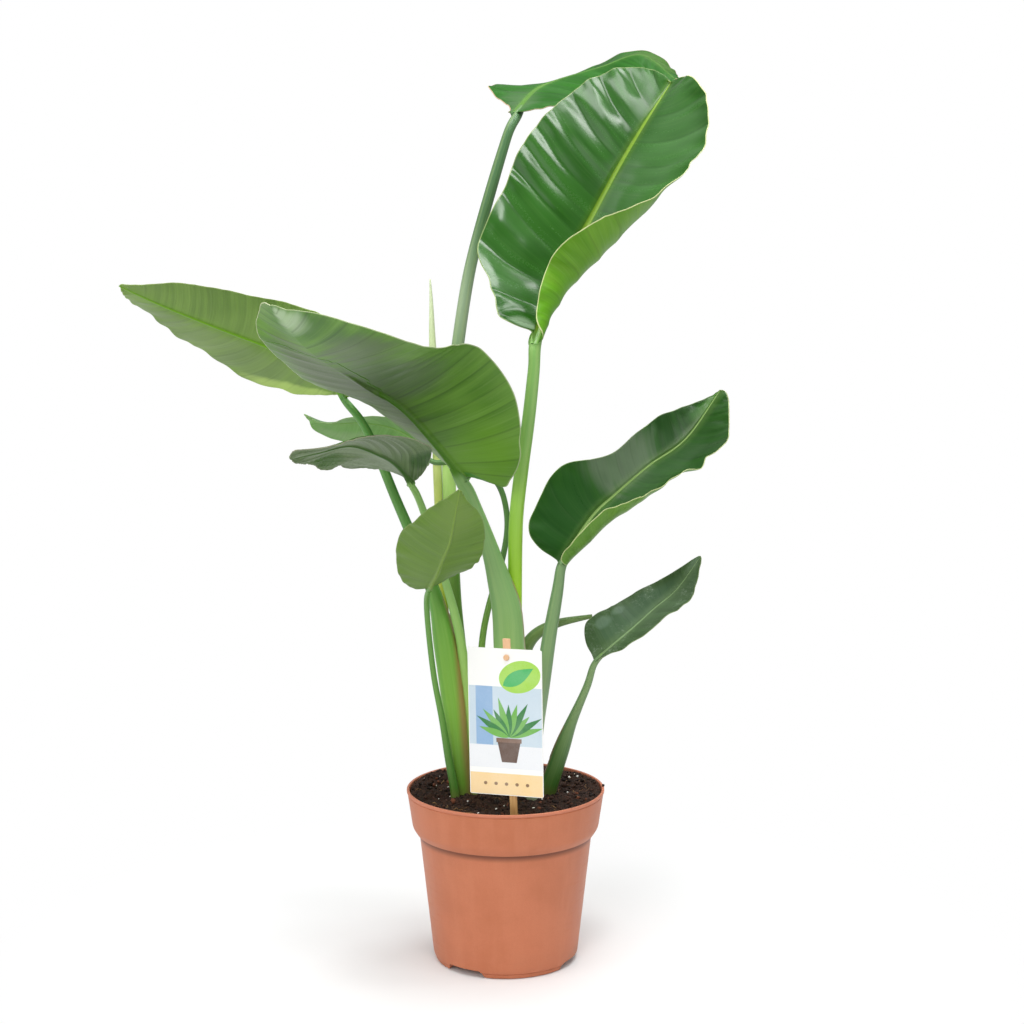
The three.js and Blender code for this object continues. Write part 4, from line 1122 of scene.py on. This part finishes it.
LIP_BOTTOM = POT_HEIGHT - LIP_HEIGHT
BAND_TOP_RADIUS = RIM_RADIUS - 0.8
FLOOR_EDGE = BODY_BOTTOM_RADIUS - WALL
POT_SIDES = 288
DRAIN_SIDES = 32
NOTCH_SLOPE = 5.0  # mm of run at a notch's ends
NOTCH_EDGE = 0.3  # of its height, at its nominal width


def pot_profile():
    outer = [
        [0, 0, 0], [CHANNEL_RADIUS - 4, 0, 1], [CHANNEL_RADIUS, CHANNEL_HEIGHT, 1.5],
        [FOOT_RADIUS - FOOT_WIDTH - 1, CHANNEL_HEIGHT, 1.5], [FOOT_RADIUS - FOOT_WIDTH, 0, 0.5],
        [FOOT_RADIUS, 0, 0.8], [FOOT_RADIUS + 0.5, BODY_BOTTOM - 2.2, 0.4],
        [FOOT_RADIUS + 0.1, BODY_BOTTOM - 1.6, 0.3], [FOOT_RADIUS + 1.9, BODY_BOTTOM - 1.2, 0.3],
        [BODY_BOTTOM_RADIUS, BODY_BOTTOM + 1.5, 1.5], [BODY_TOP_RADIUS - 0.8, BODY_TOP + 0.6, 0.3],
        [BAND_BOTTOM_RADIUS - 3.9, BAND_BOTTOM - 7.2, 0.5], [BAND_BOTTOM_RADIUS, BAND_BOTTOM - 1, 2.4],
        [BAND_TOP_RADIUS, LIP_BOTTOM - 1.1, 0.4], [BAND_TOP_RADIUS - 0.5, LIP_BOTTOM - 0.3, 0.3],
        [RIM_RADIUS, LIP_BOTTOM + 0.5, 0.5], [RIM_RADIUS, POT_HEIGHT, 0.9],
    ]
    inner = [
        [RIM_RADIUS - WALL - 0.4, POT_HEIGHT, 0.7], [BAND_TOP_RADIUS - WALL, LIP_BOTTOM, 1],
        [BAND_BOTTOM_RADIUS - WALL, BAND_BOTTOM + 0.5, 1],
        [BODY_TOP_RADIUS - WALL - 0.5, BODY_TOP + 0.8, 1],
        [FLOOR_EDGE, CHANNEL_HEIGHT + FLOOR, 1], [CHANNEL_RADIUS + 1.4, CHANNEL_HEIGHT + FLOOR, 1],
        [CHANNEL_RADIUS - 2.6, FLOOR, 1], [0, FLOOR, 0],
    ]
    return fillet(outer + inner)


def notch_height(angle):
    """How far the foot is cut away at an angle round the pot."""
    height = 0.0
    for middle in FOOT_NOTCHES:
        turn = (angle - math.radians(middle) + math.pi) % (2 * math.pi) - math.pi
        inside = NOTCH_WIDTH / 2 - abs(turn) * FOOT_RADIUS
        height = max(height, NOTCH_HEIGHT * min(1, max(0, inside / NOTCH_SLOPE + NOTCH_EDGE)))
    return height


def lathe(profile, sides, change):
    """A closed turned form. Its outline of [x, z] points starts and ends on the axis, and change
    shifts a point by its angle."""
    corners = []
    for k in range(sides):
        angle = 2 * math.pi * k / sides
        for point in profile[1:-1]:
            x, z = change(*point, angle)
            corners.append((x * math.cos(angle), x * math.sin(angle), z))
    count = len(profile) - 2
    starts = [(k * count, (k + 1) % sides * count) for k in range(sides)]
    faces = [(a + i, b + i, b + i + 1, a + i + 1) for a, b in starts for i in range(count - 1)]
    first = len(corners)
    corners += [(0, 0, profile[0][1]), (0, 0, profile[-1][1])]
    for a, b in starts:
        faces += [(first, b, a), (first + 1, a + count - 1, b + count - 1)]
    return corners, faces


def drain_cutter():
    """The cylinders that open the drain holes."""
    made = bmesh.new()
    for i in range(DRAIN_HOLES):
        angle = 2 * math.pi * i / DRAIN_HOLES
        x, y = DRAIN_CIRCLE * math.cos(angle), DRAIN_CIRCLE * math.sin(angle)
        place = Matrix.Translation(Vector((x, y, CHANNEL_HEIGHT + FLOOR / 2)) * MM)
        bmesh.ops.create_cone(
            made, cap_ends=True, segments=DRAIN_SIDES, radius1=DRAIN_RADIUS * MM,
            radius2=DRAIN_RADIUS * MM, depth=4 * FLOOR * MM, matrix=place,
        )
    return in_scene("drain_cutter", finished("drain_cutter", made))


def pot_material():
    s = Shader("terracotta_plastic")
    z = s.split(s.position())[2]
    streaks = s.noise(s.stretched(0.12), 60.0, 3.0, 0.6)
    clouds = s.grain(18.0, 4.0, 0.6)
    fine = s.grain(900.0, 2.0, 0.6)
    scuffs = s.noise(s.stretched(9), 28.0, 5.0, 0.75)
    base = s.tint("b66a47", clouds, 0.35, 0.65, "bf7250")
    base = s.tint(base, streaks, 0.4, 0.7, "c47a58", 0.35)
    base = s.tint(base, fine, 0.3, 0.8, "8f4a30", 0.12)
    # painted highlight: the lip is lighter from its ledge up
    base = s.tint(base, z, 0.1635, 0.1648, "cf8772", 0.3)
    # painted shadow: a dark line under the band, sharp at the top and fading downward
    shadow_under_band = s.times(s.span(z, 0.1165, 0.1235), s.span(z, 0.1252, 0.1244))
    base = s.blend(s.times(shadow_under_band, 0.7), base, "4a2014")
    dirt = s.times(s.span(z, 0.03, 0.002), s.span(clouds, 0.5, 0.75, 0.0, 0.5))
    base = s.blend(dirt, base, "86604a")
    base = s.tint(base, scuffs, 0.7, 0.78, "e0b49c", 0.25)
    rough = s.add(s.span(clouds, 0.3, 0.7, -0.04, 0.06), s.span(scuffs, 0.5, 0.7, 0.46, 0.54))
    normal = s.bump(fine, 0.00006, 0.7, s.bump(streaks, 0.0002, 0.4))
    return s.finish(base, rough, normal, 0.42)


NOTCHED_WIDTH = FOOT_WIDTH + 4  # of the foot, from its outside in
POT_SHARP = 40  # degrees from which an edge is sharp


def pot_piece():
    def change(x, z, angle):
        if x > FOOT_RADIUS - NOTCHED_WIDTH and z < NOTCH_HEIGHT:
            z = max(z, notch_height(angle))
        return x, z

    corners, faces = lathe(pot_profile(), POT_SIDES, change)
    pot = add_piece("pot_shell", corners, faces, [pot_material()], ["pot"])
    cutter = drain_cutter()
    holes = pot.modifiers.new("holes", "BOOLEAN")
    holes.operation = "DIFFERENCE"
    holes.solver = "EXACT"
    holes.object = cutter
    cut = bpy.data.meshes.new_from_object(pot.evaluated_get(bpy.context.evaluated_depsgraph_get()))
    pot.modifiers.clear()
    pot.data = cut
    bpy.data.objects.remove(cutter)
    cut.set_sharp_from_angle(angle=math.radians(POT_SHARP))


# ---------------------------------------------------------------- soil

SOIL_RINGS = 80
SOIL_SIDES = 240
CRUMBS = 3600
CRUMB_SIZES = (0.4, 2.7)
PERLITE = 46
PERLITE_SIZES = (0.5, 1.7)
FIBRES = 70
FIBRE_SEED = 41
BANK_HEIGHT = 7.2


def soil_height(x, y):
    mound = MOUND_HEIGHT * np.exp(-((x - MOUND_SHIFT) ** 2 + y**2) / MOUND_RADIUS**2)
    small = np.sin(x / LUMPS[0] + 1) * np.cos(y / LUMPS[1])
    large = np.sin((x + 2 * y) / LUMPS[2])
    return SOIL_TOP + mound + SOIL_ROUGHNESS * (small + large) - SOIL_SLOPE * y


SOIL_DEPTH = 14  # of the visible soil, below its top
SOIL_MIDDLE = 2.4  # how far its middle stands above its top
SOIL_LUMP_HEIGHT = 1.7
SOIL_LUMP_SCALE = 0.16  # per mm
SOIL_LUMP_SEED = 3.1
BANK_REACH = (0.7, 0.97)  # shares of the pot's inner radius between which the bank rises
BANK_FRONT_BACK = (-55, 25)


def bank(x, y):
    """How much higher the soil lies against the back of the pot."""
    share = np.hypot(x, y) / inner_radius(SOIL_TOP)
    return BANK_HEIGHT * ease(*BANK_REACH, share) * ease(*BANK_FRONT_BACK, y)


def inner_radius(height):
    share = (height - BAND_BOTTOM) / (LIP_BOTTOM - BAND_BOTTOM)
    return BAND_BOTTOM_RADIUS + (BAND_TOP_RADIUS - BAND_BOTTOM_RADIUS) * share - WALL - CLEARANCE


def ground(x, y):
    return soil_height(x, y) + bank(x, y)


def random_place(draw, radius):
    """A place in a circle round the pot's axis."""
    radius = radius * math.sqrt(draw.random())
    angle = 2 * math.pi * draw.random()
    return radius * math.cos(angle), radius * math.sin(angle)


def soil_material():
    s = Shader("peat")
    clumps = s.grain(260.0, 5.0, 0.7)
    grit = s.grain(1100.0, 3.0, 0.7)
    base = s.tint("1c100a", clumps, 0.35, 0.65, "3a2418")
    base = s.tint(base, grit, 0.55, 0.75, "5a3320", 0.6)
    normal = s.bump(grit, 0.0005, 0.9, s.bump(clumps, 0.0012, 0.9))
    return s.finish(base, s.span(grit, 0.3, 0.7, 0.75, 0.95), normal, 0.3)


def tinted_material(name, tones, rough):
    """A grainy material whose tone is drawn for each grain."""
    s = Shader(name)
    tint, _, _ = s.attribute("tint")
    grit = s.grain(1300.0, 3.0, 0.7)
    base = s.blend(tint, tones[0], tones[1])
    base = s.tint(base, tint, 0.93, 0.97, tones[2])
    base = s.tint(base, grit, 0.4, 0.8, s.blend(0.6, base, "000000"), 0.5)
    return s.finish(base, s.span(grit, 0.3, 0.7, rough - 0.1, rough), s.bump(grit, 0.0003, 0.8))


@np.vectorize
def soil_lump(x, y):
    return noise.fractal(Vector((x * SOIL_LUMP_SCALE, y * SOIL_LUMP_SCALE, SOIL_LUMP_SEED)), 0.6, 2.1, 5)


def soil_piece():
    shares = np.linspace(0.02, 1, SOIL_RINGS)
    radii = shares[:, None] * inner_radius(SOIL_TOP)
    angle = 2 * np.pi * np.arange(SOIL_SIDES) / SOIL_SIDES
    x = radii * np.cos(angle)
    y = radii * np.sin(angle)
    lumps = SOIL_LUMP_HEIGHT * soil_lump(x, y) * (1 - 0.5 * ease(0.9, 1, shares))[:, None]
    corners = np.stack([x, y, ground(x, y) + lumps], -1).reshape(-1, 3)
    bottom = SOIL_TOP - SOIL_DEPTH
    below = np.stack([x[-1] * 0.98, y[-1] * 0.98, np.full(SOIL_SIDES, bottom)], -1)
    corners = np.vstack([corners, below, [[0, 0, SOIL_TOP + SOIL_MIDDLE], [0, 0, bottom]]])
    faces = ring_faces(SOIL_RINGS + 1, SOIL_SIDES, flip=True)
    top = (SOIL_RINGS + 1) * SOIL_SIDES
    last = SOIL_RINGS * SOIL_SIDES
    for k in range(SOIL_SIDES):
        after = (k + 1) % SOIL_SIDES
        faces += [(top, k, after), (top + 1, last + after, last + k)]
    add_piece("soil_surface", corners, faces, [soil_material()], ["soil"])


def grain_template():
    made = bmesh.new()
    bmesh.ops.create_icosphere(made, subdivisions=1, radius=1)
    corners = np.array([v.co[:] for v in made.verts])
    faces = np.array([[v.index for v in f.verts] for f in made.faces])
    made.free()
    return corners, faces


def random_turn(draw):
    q = unit(draw.normal(size=4))
    w, x, y, z = q
    return np.array([
        [1 - 2 * (y * y + z * z), 2 * (x * y - z * w), 2 * (x * z + y * w)],
        [2 * (x * y + z * w), 1 - 2 * (x * x + z * z), 2 * (y * z - x * w)],
        [2 * (x * z - y * w), 2 * (y * z + x * w), 1 - 2 * (x * x + y * y)],
    ])


GRAIN_STRETCH = (0.6, 1.1)  # of its size, along each of a grain's axes
GRAIN_MARGIN = 1.2  # sizes that its middle stays away from the pot's wall


def grains_piece(name, count, sizes, jitter, made, seed, sink=0.2, places=()):
    """Loose grains lying on the soil, drawn from a seed, and some at places of their own."""
    draw = np.random.default_rng(seed)
    template, template_faces = grain_template()
    corners, faces, tints = [], [], []
    edge = inner_radius(SOIL_TOP)
    for i in range(count + len(places)):
        size = sizes[0] + (sizes[1] - sizes[0]) * draw.random() ** 3
        x, y = random_place(draw, edge - GRAIN_MARGIN * size)
        z = ground(x, y) + size * (draw.random() - 2 * sink)
        if i >= count:
            x, y, z, size = places[i - count]
        uneven = draw.uniform(1 - jitter, 1 + jitter, (len(template), 1))
        shape = template * uneven * draw.uniform(*GRAIN_STRETCH, 3)
        corners.append(shape @ random_turn(draw).T * size + [x, y, z])
        faces.append(template_faces + i * len(template))
        tints.append(np.repeat([[draw.random(), 0, 0]], len(template), axis=0))
    attributes = {"tint": np.vstack(tints)}
    add_piece(name, corners, np.vstack(faces).tolist(), [made], attributes=attributes)


FIBRE_LENGTHS = (5, 16)
FIBRE_THICKNESSES = (0.16, 0.34)
FIBRE_BEND = 1.6  # radians
FIBRE_LIFT = (0.4, 1.6)  # mm above the soil at its ends, and the most that its middle adds
FIBRE_MARGIN = 6  # mm from the pot's wall within which none starts
FIBRE_OVERRUN = 3  # mm that one may run on into that margin
FIBRE_WIDTHS = np.array([0.3, 0.8, 1, 1, 1, 1, 0.9, 0.7, 0.25])  # along a fibre
FIBRE_SIDES = 6


def fibre_rings(draw, edge):
    """The rings of one fibre, or None if it would run off the soil."""
    x, y = random_place(draw, edge)
    heading = 2 * math.pi * draw.random()
    length = draw.uniform(*FIBRE_LENGTHS)
    thick = draw.uniform(*FIBRE_THICKNESSES)
    bend = draw.uniform(-FIBRE_BEND, FIBRE_BEND)
    steps = len(FIBRE_WIDTHS) - 1
    centre = []
    for k in range(steps + 1):
        lift = FIBRE_LIFT[0] + FIBRE_LIFT[1] * math.sin(math.pi * k / steps) * draw.random()
        centre.append([x, y, ground(x, y) + lift])
        heading += bend / steps
        x += length / steps * math.cos(heading)
        y += length / steps * math.sin(heading)
    centre = np.array(centre)
    if np.hypot(centre[:, 0], centre[:, 1]).max() > edge + FIBRE_OVERRUN:
        return None
    along = unit(np.gradient(centre, axis=0))
    across = unit(np.cross(along, [0, 0, 1.0]))
    up = np.cross(across, along)
    turn = (2 * np.pi * np.arange(FIBRE_SIDES) / FIBRE_SIDES)[:, None]
    ring = across[:, None] * np.cos(turn) + up[:, None] * np.sin(turn)
    return centre[:, None] + ring * (thick * FIBRE_WIDTHS)[:, None, None]


def fibres_piece():
    """Thin dry roots and fibres on the soil."""
    draw = np.random.default_rng(FIBRE_SEED)
    edge = inner_radius(SOIL_TOP) - FIBRE_MARGIN
    count = len(FIBRE_WIDTHS) * FIBRE_SIDES
    corners, faces, tints = [], [], []
    for _ in range(FIBRES):
        rings = fibre_rings(draw, edge)
        if rings is None:
            continue
        start = len(corners) * count
        end = start + count
        corners.append(rings)
        tints.append(np.repeat([[draw.random(), 0, 0]], count, axis=0))
        faces += ring_faces(len(rings), FIBRE_SIDES, start)
        faces += [tuple(range(start, start + FIBRE_SIDES))[::-1], tuple(range(end - FIBRE_SIDES, end))]
    made = [tinted_material("dry_fibre", ["5a3a22", "a07a4c", "c9b088"], 0.8)]
    add_piece("soil_fibres", corners, faces, made, attributes={"tint": np.vstack(tints)})


# ---------------------------------------------------------------- label


def label_matrix():
    middle = (CARD_BOTTOM + CARD_HEIGHT / 2) * MM
    return (
        Matrix.Translation(Vector((CARD_PLACE[0] * MM, CARD_PLACE[1] * MM, 0)))
        @ Matrix.Rotation(math.radians(CARD_TURN), 4, "Z")
        @ Matrix.Translation(Vector((0, 0, middle)))
        @ Matrix.Rotation(math.radians(CARD_LEAN), 4, "X")
        @ Matrix.Translation(Vector((0, 0, -middle)))
    )


def stick_shift(height):
    share = (height - STICK_BOTTOM) / (STICK_TOP - STICK_BOTTOM)
    return STICK_SHIFT[0] + (STICK_SHIFT[1] - STICK_SHIFT[0]) * share


def rounded_outline(width, height, radius, steps=6):
    points = []
    for cx, cz, start in ((1, 1, 0), (-1, 1, 90), (-1, -1, 180), (1, -1, 270)):
        for k in range(steps + 1):
            angle = math.radians(start + 90 * k / steps)
            points.append((
                cx * (width / 2 - radius) + radius * math.cos(angle),
                cz * (height / 2 - radius) + radius * math.sin(angle),
            ))
    return points


def extruded(points, front, back):
    """Corners and faces of a plate with that outline in X and Z, from y = front to y = back."""
    count = len(points)
    corners = [(x, front, z) for x, z in points] + [(x, back, z) for x, z in points]
    faces = [tuple(range(count))[::-1], tuple(range(count, 2 * count))]
    for k in range(count):
        after = (k + 1) % count
        faces.append((k, after, after + count, k + count))
    return corners, [f[::-1] for f in faces]


def paper_material(name, tone, rough=0.35):
    """Smooth printed card in one ink, with a faint wash and a paper tooth."""
    s = Shader(name)
    tooth = s.grain(1400.0, 2.0, 0.6)
    wash = s.grain(45.0, 3.0, 0.6)
    base = s.tint(tone, wash, 0.3, 0.7, s.blend(0.2, tone, "ffffff"), 0.4)
    base = s.tint(base, tooth, 0.3, 0.8, s.blend(0.15, tone, "000000"), 0.15)
    return s.finish(base, s.span(tooth, 0.3, 0.7, rough - 0.05, rough + 0.08), s.bump(tooth, 0.00003, 0.5))


CARD_CORNER = 1.6
PRINT_START = 0.02  # mm between the card and the print
PRINT_STEP = 0.0105  # mm that each layer of the print adds
PRINT_SINK = 0.05  # mm that every layer runs back into the card
INKS = dict(
    sky="c3d3dd", floor="e6e8ea", lime="9fd04a", green="3fae5c", leaf="2f7a3a", leaf_light="6fae4f",
    pot="5b4234", pot_light="7d6150", tan="efcf98", brown="8a6a48", blue="8fb0d2",
)


def turned(points, cx, cz, turn):
    """Points [x, z] turned about the origin and moved to (cx, cz)."""
    c, s = math.cos(turn), math.sin(turn)
    return [(cx + x * c - z * s, cz + x * s + z * c) for x, z in points]


def oval(cx, cz, width, height, turn=0.0, steps=40):
    angles = [2 * math.pi * k / steps for k in range(steps)]
    return turned([(width / 2 * math.cos(a), height / 2 * math.sin(a)) for a in angles], cx, cz, turn)


def leaf_shape(cx, cz, length, width, turn, steps=12):
    """A pointed leaf that starts at (cx, cz) and runs towards turn."""
    shares = [k / steps for k in range(steps + 1)]
    side = [(f * length, width / 2 * math.sin(math.pi * f**0.8)) for f in shares]
    return turned(side[:-1] + [(x, -z) for x, z in side[:0:-1]], cx, cz, turn)


def box_outline(left, bottom, right, top):
    return [(right, top), (left, top), (left, bottom), (right, bottom)]


def print_shapes():
    """The label's print, from the bottom layer up: (ink, outline) in millimetres from the card's middle."""
    half_w = CARD_WIDTH / 2 - 0.6
    half_h = CARD_HEIGHT / 2 - 0.6
    shapes = [
        ("sky", box_outline(-half_w, -44, half_w, 34)),
        ("floor", box_outline(-half_w, -44, half_w, -22)),
        ("blue", box_outline(-28, -22, -12, 34)),
        ("lime", oval(14, 44, 40, 30, 0.3)),
        ("green", leaf_shape(-2, 35, 34, 13, 0.55)),
        ("tan", box_outline(-half_w, -half_h, half_w, -49)),
    ]
    for k in range(11):
        turn = math.radians(18 + 14.4 * k)
        ink = "leaf" if k % 2 else "leaf_light"
        shapes.append((ink, leaf_shape(3, -14, 34 + 5 * math.sin(2.4 * k), 6.5, turn)))
    shapes += [
        ("pot", [(14, -18), (-8, -18), (-4, -38), (10, -38)]),
        ("pot_light", [(15, -15), (-9, -15), (-9, -19), (15, -19)]),
    ]
    for k in range(5):
        shapes.append(("brown", oval(-20 + 10 * k, -59, 3.2, 3.2)))
    return shapes


def card_pieces():
    place = label_matrix()
    middle = CARD_BOTTOM + CARD_HEIGHT / 2
    front = -CARD_THICKNESS / 2
    corners, faces = extruded(rounded_outline(CARD_WIDTH, CARD_HEIGHT, CARD_CORNER), front, -front)
    corners = move(corners, middle, place)
    white = [paper_material("white_card", "f2f2ee")]
    card = add_piece("label_card_sheet", corners, faces, white, ["label_card"])
    inks = list(INKS)
    corners, faces, indices = [], [], []
    for layer, (ink, outline) in enumerate(print_shapes()):
        ahead = PRINT_START + PRINT_STEP * (layer + 1)
        points, plate = extruded(outline, front - ahead, front + PRINT_SINK)
        faces += [tuple(c + len(corners) for c in face) for face in plate]
        corners += points
        indices += [inks.index(ink)] * len(plate)
    materials = [paper_material(f"ink_{ink}", INKS[ink], 0.3) for ink in inks]
    corners = move(corners, middle, place)
    printed = add_piece("label_print", corners, faces, materials, indices=indices)
    for piece in (card, printed):
        shade(piece.data, smooth=False)


def move(corners, middle, matrix):
    """Corners round the card's middle, in the plant's frame."""
    turn = np.array(matrix.to_3x3())
    shift = np.array(matrix.translation) / MM
    return (np.array(corners, float) + [0, 0, middle]) @ turn.T + shift


def wood_material():
    s = Shader("light_wood")
    grain = s.noise(s.stretched(0.04), 900.0, 4.0, 0.65)
    broad = s.noise(s.stretched(0.04), 240.0, 3.0, 0.6)
    z = s.split(s.position())[2]
    base = s.tint("a87c48", broad, 0.35, 0.65, "c49a62")
    # painted light: the wood is lighter near its top, above the card
    base = s.tint(base, z, 0.3, 0.31, "f0c49c", 0.7)
    base = s.tint(base, grain, 0.5, 0.75, "7c5630", 0.55)
    return s.finish(base, s.span(grain, 0.3, 0.7, 0.5, 0.68), s.bump(grain, 0.0002, 0.8))


STICK_BEVEL = 0.5
STICK_SHARP = 35  # degrees from which an edge is sharp
PEG_SIDES = 28


def add_peg(made, back):
    """The round peg that runs through the card to the stick behind it."""
    x = stick_shift(PEG_HEIGHT)
    ends = [
        (-back - PEG_HEAD, 0.82), (-back - PEG_HEAD * 0.7, 1), (-back, 1), (-back, 0.5), (back + 0.5, 0.5),
    ]
    rings = []
    for y, share in ends:
        radius = PEG_RADIUS * share
        angles = [2 * math.pi * k / PEG_SIDES for k in range(PEG_SIDES)]
        rings.append([
            made.verts.new((x + radius * math.cos(a), y, PEG_HEIGHT + radius * math.sin(a))) for a in angles
        ])
    for a, b in zip(rings, rings[1:]):
        for k in range(PEG_SIDES):
            after = (k + 1) % PEG_SIDES
            made.faces.new((a[k], b[k], b[after], a[after]))
    made.faces.new(rings[0])
    made.faces.new(rings[-1][::-1])


def stick_piece():
    back = CARD_THICKNESS / 2 + CLEARANCE
    made = bmesh.new()
    bmesh.ops.create_cube(made, size=1)
    for v in made.verts:
        height = STICK_TOP if v.co.z > 0 else STICK_BOTTOM
        x = stick_shift(height) + math.copysign(STICK_WIDTH / 2, v.co.x)
        v.co = Vector((x, back + STICK_THICKNESS if v.co.y > 0 else back, height))
    bmesh.ops.bevel(made, geom=made.edges[:], offset=STICK_BEVEL, segments=3, profile=0.5, affect="EDGES")
    add_peg(made, back)
    bmesh.ops.recalc_face_normals(made, faces=made.faces[:])
    bmesh.ops.scale(made, vec=(MM, MM, MM), verts=made.verts[:])
    bmesh.ops.transform(made, matrix=label_matrix(), verts=made.verts[:])
    mesh = finished("label_stick_wood", made)
    mesh.materials.append(wood_material())
    shade(mesh, smooth=True)
    mesh.set_sharp_from_angle(angle=math.radians(STICK_SHARP))
    add_object("label_stick_wood", mesh, ["label_stick"])


# ---------------------------------------------------------------- the studio

CAMERA_PLACE = (6.2, -1925, 710)
CAMERA_PITCH = 8.14  # degrees below the horizon
FOCAL_LENGTH = 72.39
SENSOR_WIDTH = 36.0
FLOOR_RADIUS = 2.4
WHITE_FROM = 0.16  # m from the pot where the floor starts to fade into the white of the studio
WHITE_TO = 0.5
FLOOR_COLOUR = (0.76, 0.765, 0.765, 1)
FLOOR_DROP = 0.0004  # m under the pot, so that the two never coincide


def studio_floor():
    made = bmesh.new()
    bmesh.ops.create_circle(made, cap_ends=True, segments=96, radius=FLOOR_RADIUS)
    mesh = finished("studio_floor", made)
    s = Shader("studio_white")
    x, y, _ = s.split(s.position())
    distance = s.maths("SQRT", s.add(s.times(x, x), s.times(y, y)))
    mesh.materials.append(s.finish(FLOOR_COLOUR, 0.7, specular=0.2))
    glow = s.node("Emission", {"Color": "ffffff", "Strength": 1.0})
    far = s.span(distance, WHITE_FROM, WHITE_TO)
    both = s.node("MixShader", {0: far, 1: s.surface.outputs[0], 2: glow.outputs[0]})
    s.put(s.tree.nodes["Material Output"].inputs["Surface"], both.outputs[0])
    floor = in_scene("studio_floor", mesh)
    floor.location.z = -FLOOR_DROP


WORLD_FRONT_BACK = (0.17, 0.4)  # the world's strength toward the camera and behind the plant
WORLD_TOP = 0.4  # more of it overhead
LIGHT_TARGET = (0, 0, 0.45)
# Each light's name, place and size in metres, power in watts, and whether it shows in reflections.
LIGHTS = [
    ("top_left", (-0.65, -0.3, 2.5), (1.0, 1.1), 20, True),
    ("top_front", (0.1, -0.95, 2.5), (0.55, 1.1), 23, True),
    ("top_right", (1.22, -0.2, 2.5), (0.4, 0.5), 6, True),
    ("top_back", (0.75, 0.65, 2.5), (0.9, 0.9), 18, True),
    ("left", (-1.9, -1.2, 1.2), (1.7, 1.6), 13, True),
    ("front", (-0.7, -2.7, 1.5), (1.2, 1.2), 29, False),
    ("right", (2.0, -1.2, 1.5), (1.0, 1.4), 10, False),
]


def area_light(name, place, size, power, glossy):
    data = bpy.data.lights.new(name, "AREA")
    data.shape = "RECTANGLE"
    data.size, data.size_y = size
    data.energy = power
    light = in_scene(name, data)
    light.location = place
    light.visible_glossy = glossy
    light.rotation_euler = (Vector(LIGHT_TARGET) - Vector(place)).to_track_quat("-Z", "Y").to_euler()


def studio_world():
    """Brightest above and behind the plant, dimmer on the camera's side, white where the camera sees it."""
    world = bpy.data.worlds.new("studio")
    bpy.context.scene.world = world
    w = Nodes(world)
    _, y, z = w.split(w.node("TexCoord").outputs["Generated"])
    strength = w.add(w.span(y, -0.9, 0.6, *WORLD_FRONT_BACK), w.span(z, 0.1, 0.95, 0.0, WORLD_TOP))
    light = w.tree.nodes["Background"]
    w.put(light.inputs["Color"], "ffffff")
    w.put(light.inputs["Strength"], strength)
    seen = w.node("Background", {"Color": "ffffff", "Strength": 1.0})
    camera = w.node("LightPath").outputs["Is Camera Ray"]
    both = w.node("MixShader", {0: camera, 1: light.outputs[0], 2: seen.outputs[0]})
    w.put(w.tree.nodes["World Output"].inputs["Surface"], both.outputs[0])


def studio_camera():
    data = bpy.data.cameras.new("camera")
    data.lens = FOCAL_LENGTH
    data.sensor_width = SENSOR_WIDTH
    camera = in_scene("camera", data)
    camera.location = [c * MM for c in CAMERA_PLACE]
    camera.rotation_euler = (math.radians(90 - CAMERA_PITCH), 0, 0)
    bpy.context.scene.camera = camera


def studio():
    studio_floor()
    studio_world()
    for light in LIGHTS:
        area_light(*light)
    studio_camera()
    bpy.context.scene.view_settings.view_transform = "Standard"


# ---------------------------------------------------------------- the whole plant

SPEAR_LOOK = dict(low="bccc44", high="dce6c4", turn=0.75, stripe=0.8, furrow=0.5)
CUT_STALK_LOOK = dict(low="446a2e", high="607e48")
CRUMB_TONES = ["130805", "40261a", "6a3c26"]
PERLITE_TONES = ["e8e4da", "f6f4ee", "d8c98a"]
RIM_CRUMB = (94, 3, POT_HEIGHT + 0.8, 1.6)  # x, y, z and size of the one that lies on the rim


def leaf_pieces(name, leaf):
    look = LOOKS[name]
    stalk_look = STALK_LOOKS[name]
    blade_piece(name, leaf, dict(look, neck_tone=stalk_look["high"]))
    path = stalk_path(leaf, stalk_look.get("widest", leaf["neck"]))
    stalk_piece(
        f"{name}_stalk", path, dict(stalk_look, rib=look["under_rib"]), [f"leaf_{name}_stalk"],
        rib_start=(len(path) - len(RIB_RUN)) / (len(path) - 1),
    )


pot_piece()
soil_piece()
grains_piece(
    "soil_crumbs", CRUMBS, CRUMB_SIZES, 0.5, tinted_material("peat_crumbs", CRUMB_TONES, 0.9), seed=17,
    places=[RIM_CRUMB],
)
grains_piece(
    "perlite_grains", PERLITE, PERLITE_SIZES, 0.2, tinted_material("perlite", PERLITE_TONES, 0.85), seed=23,
    sink=0.05,
)
fibres_piece()
card_pieces()
stick_piece()
for leaf_name, leaf_values in LEAVES.items():
    leaf_pieces(leaf_name, leaf_values)
stalk_piece("rolled_leaf", oval_path(SPEAR), SPEAR_LOOK, ["spear"], groove=0.12)
stalk_piece("cut_leaf_stalk", oval_path(CUT_STALK), CUT_STALK_LOOK, ["cut_stalk"])
studio()
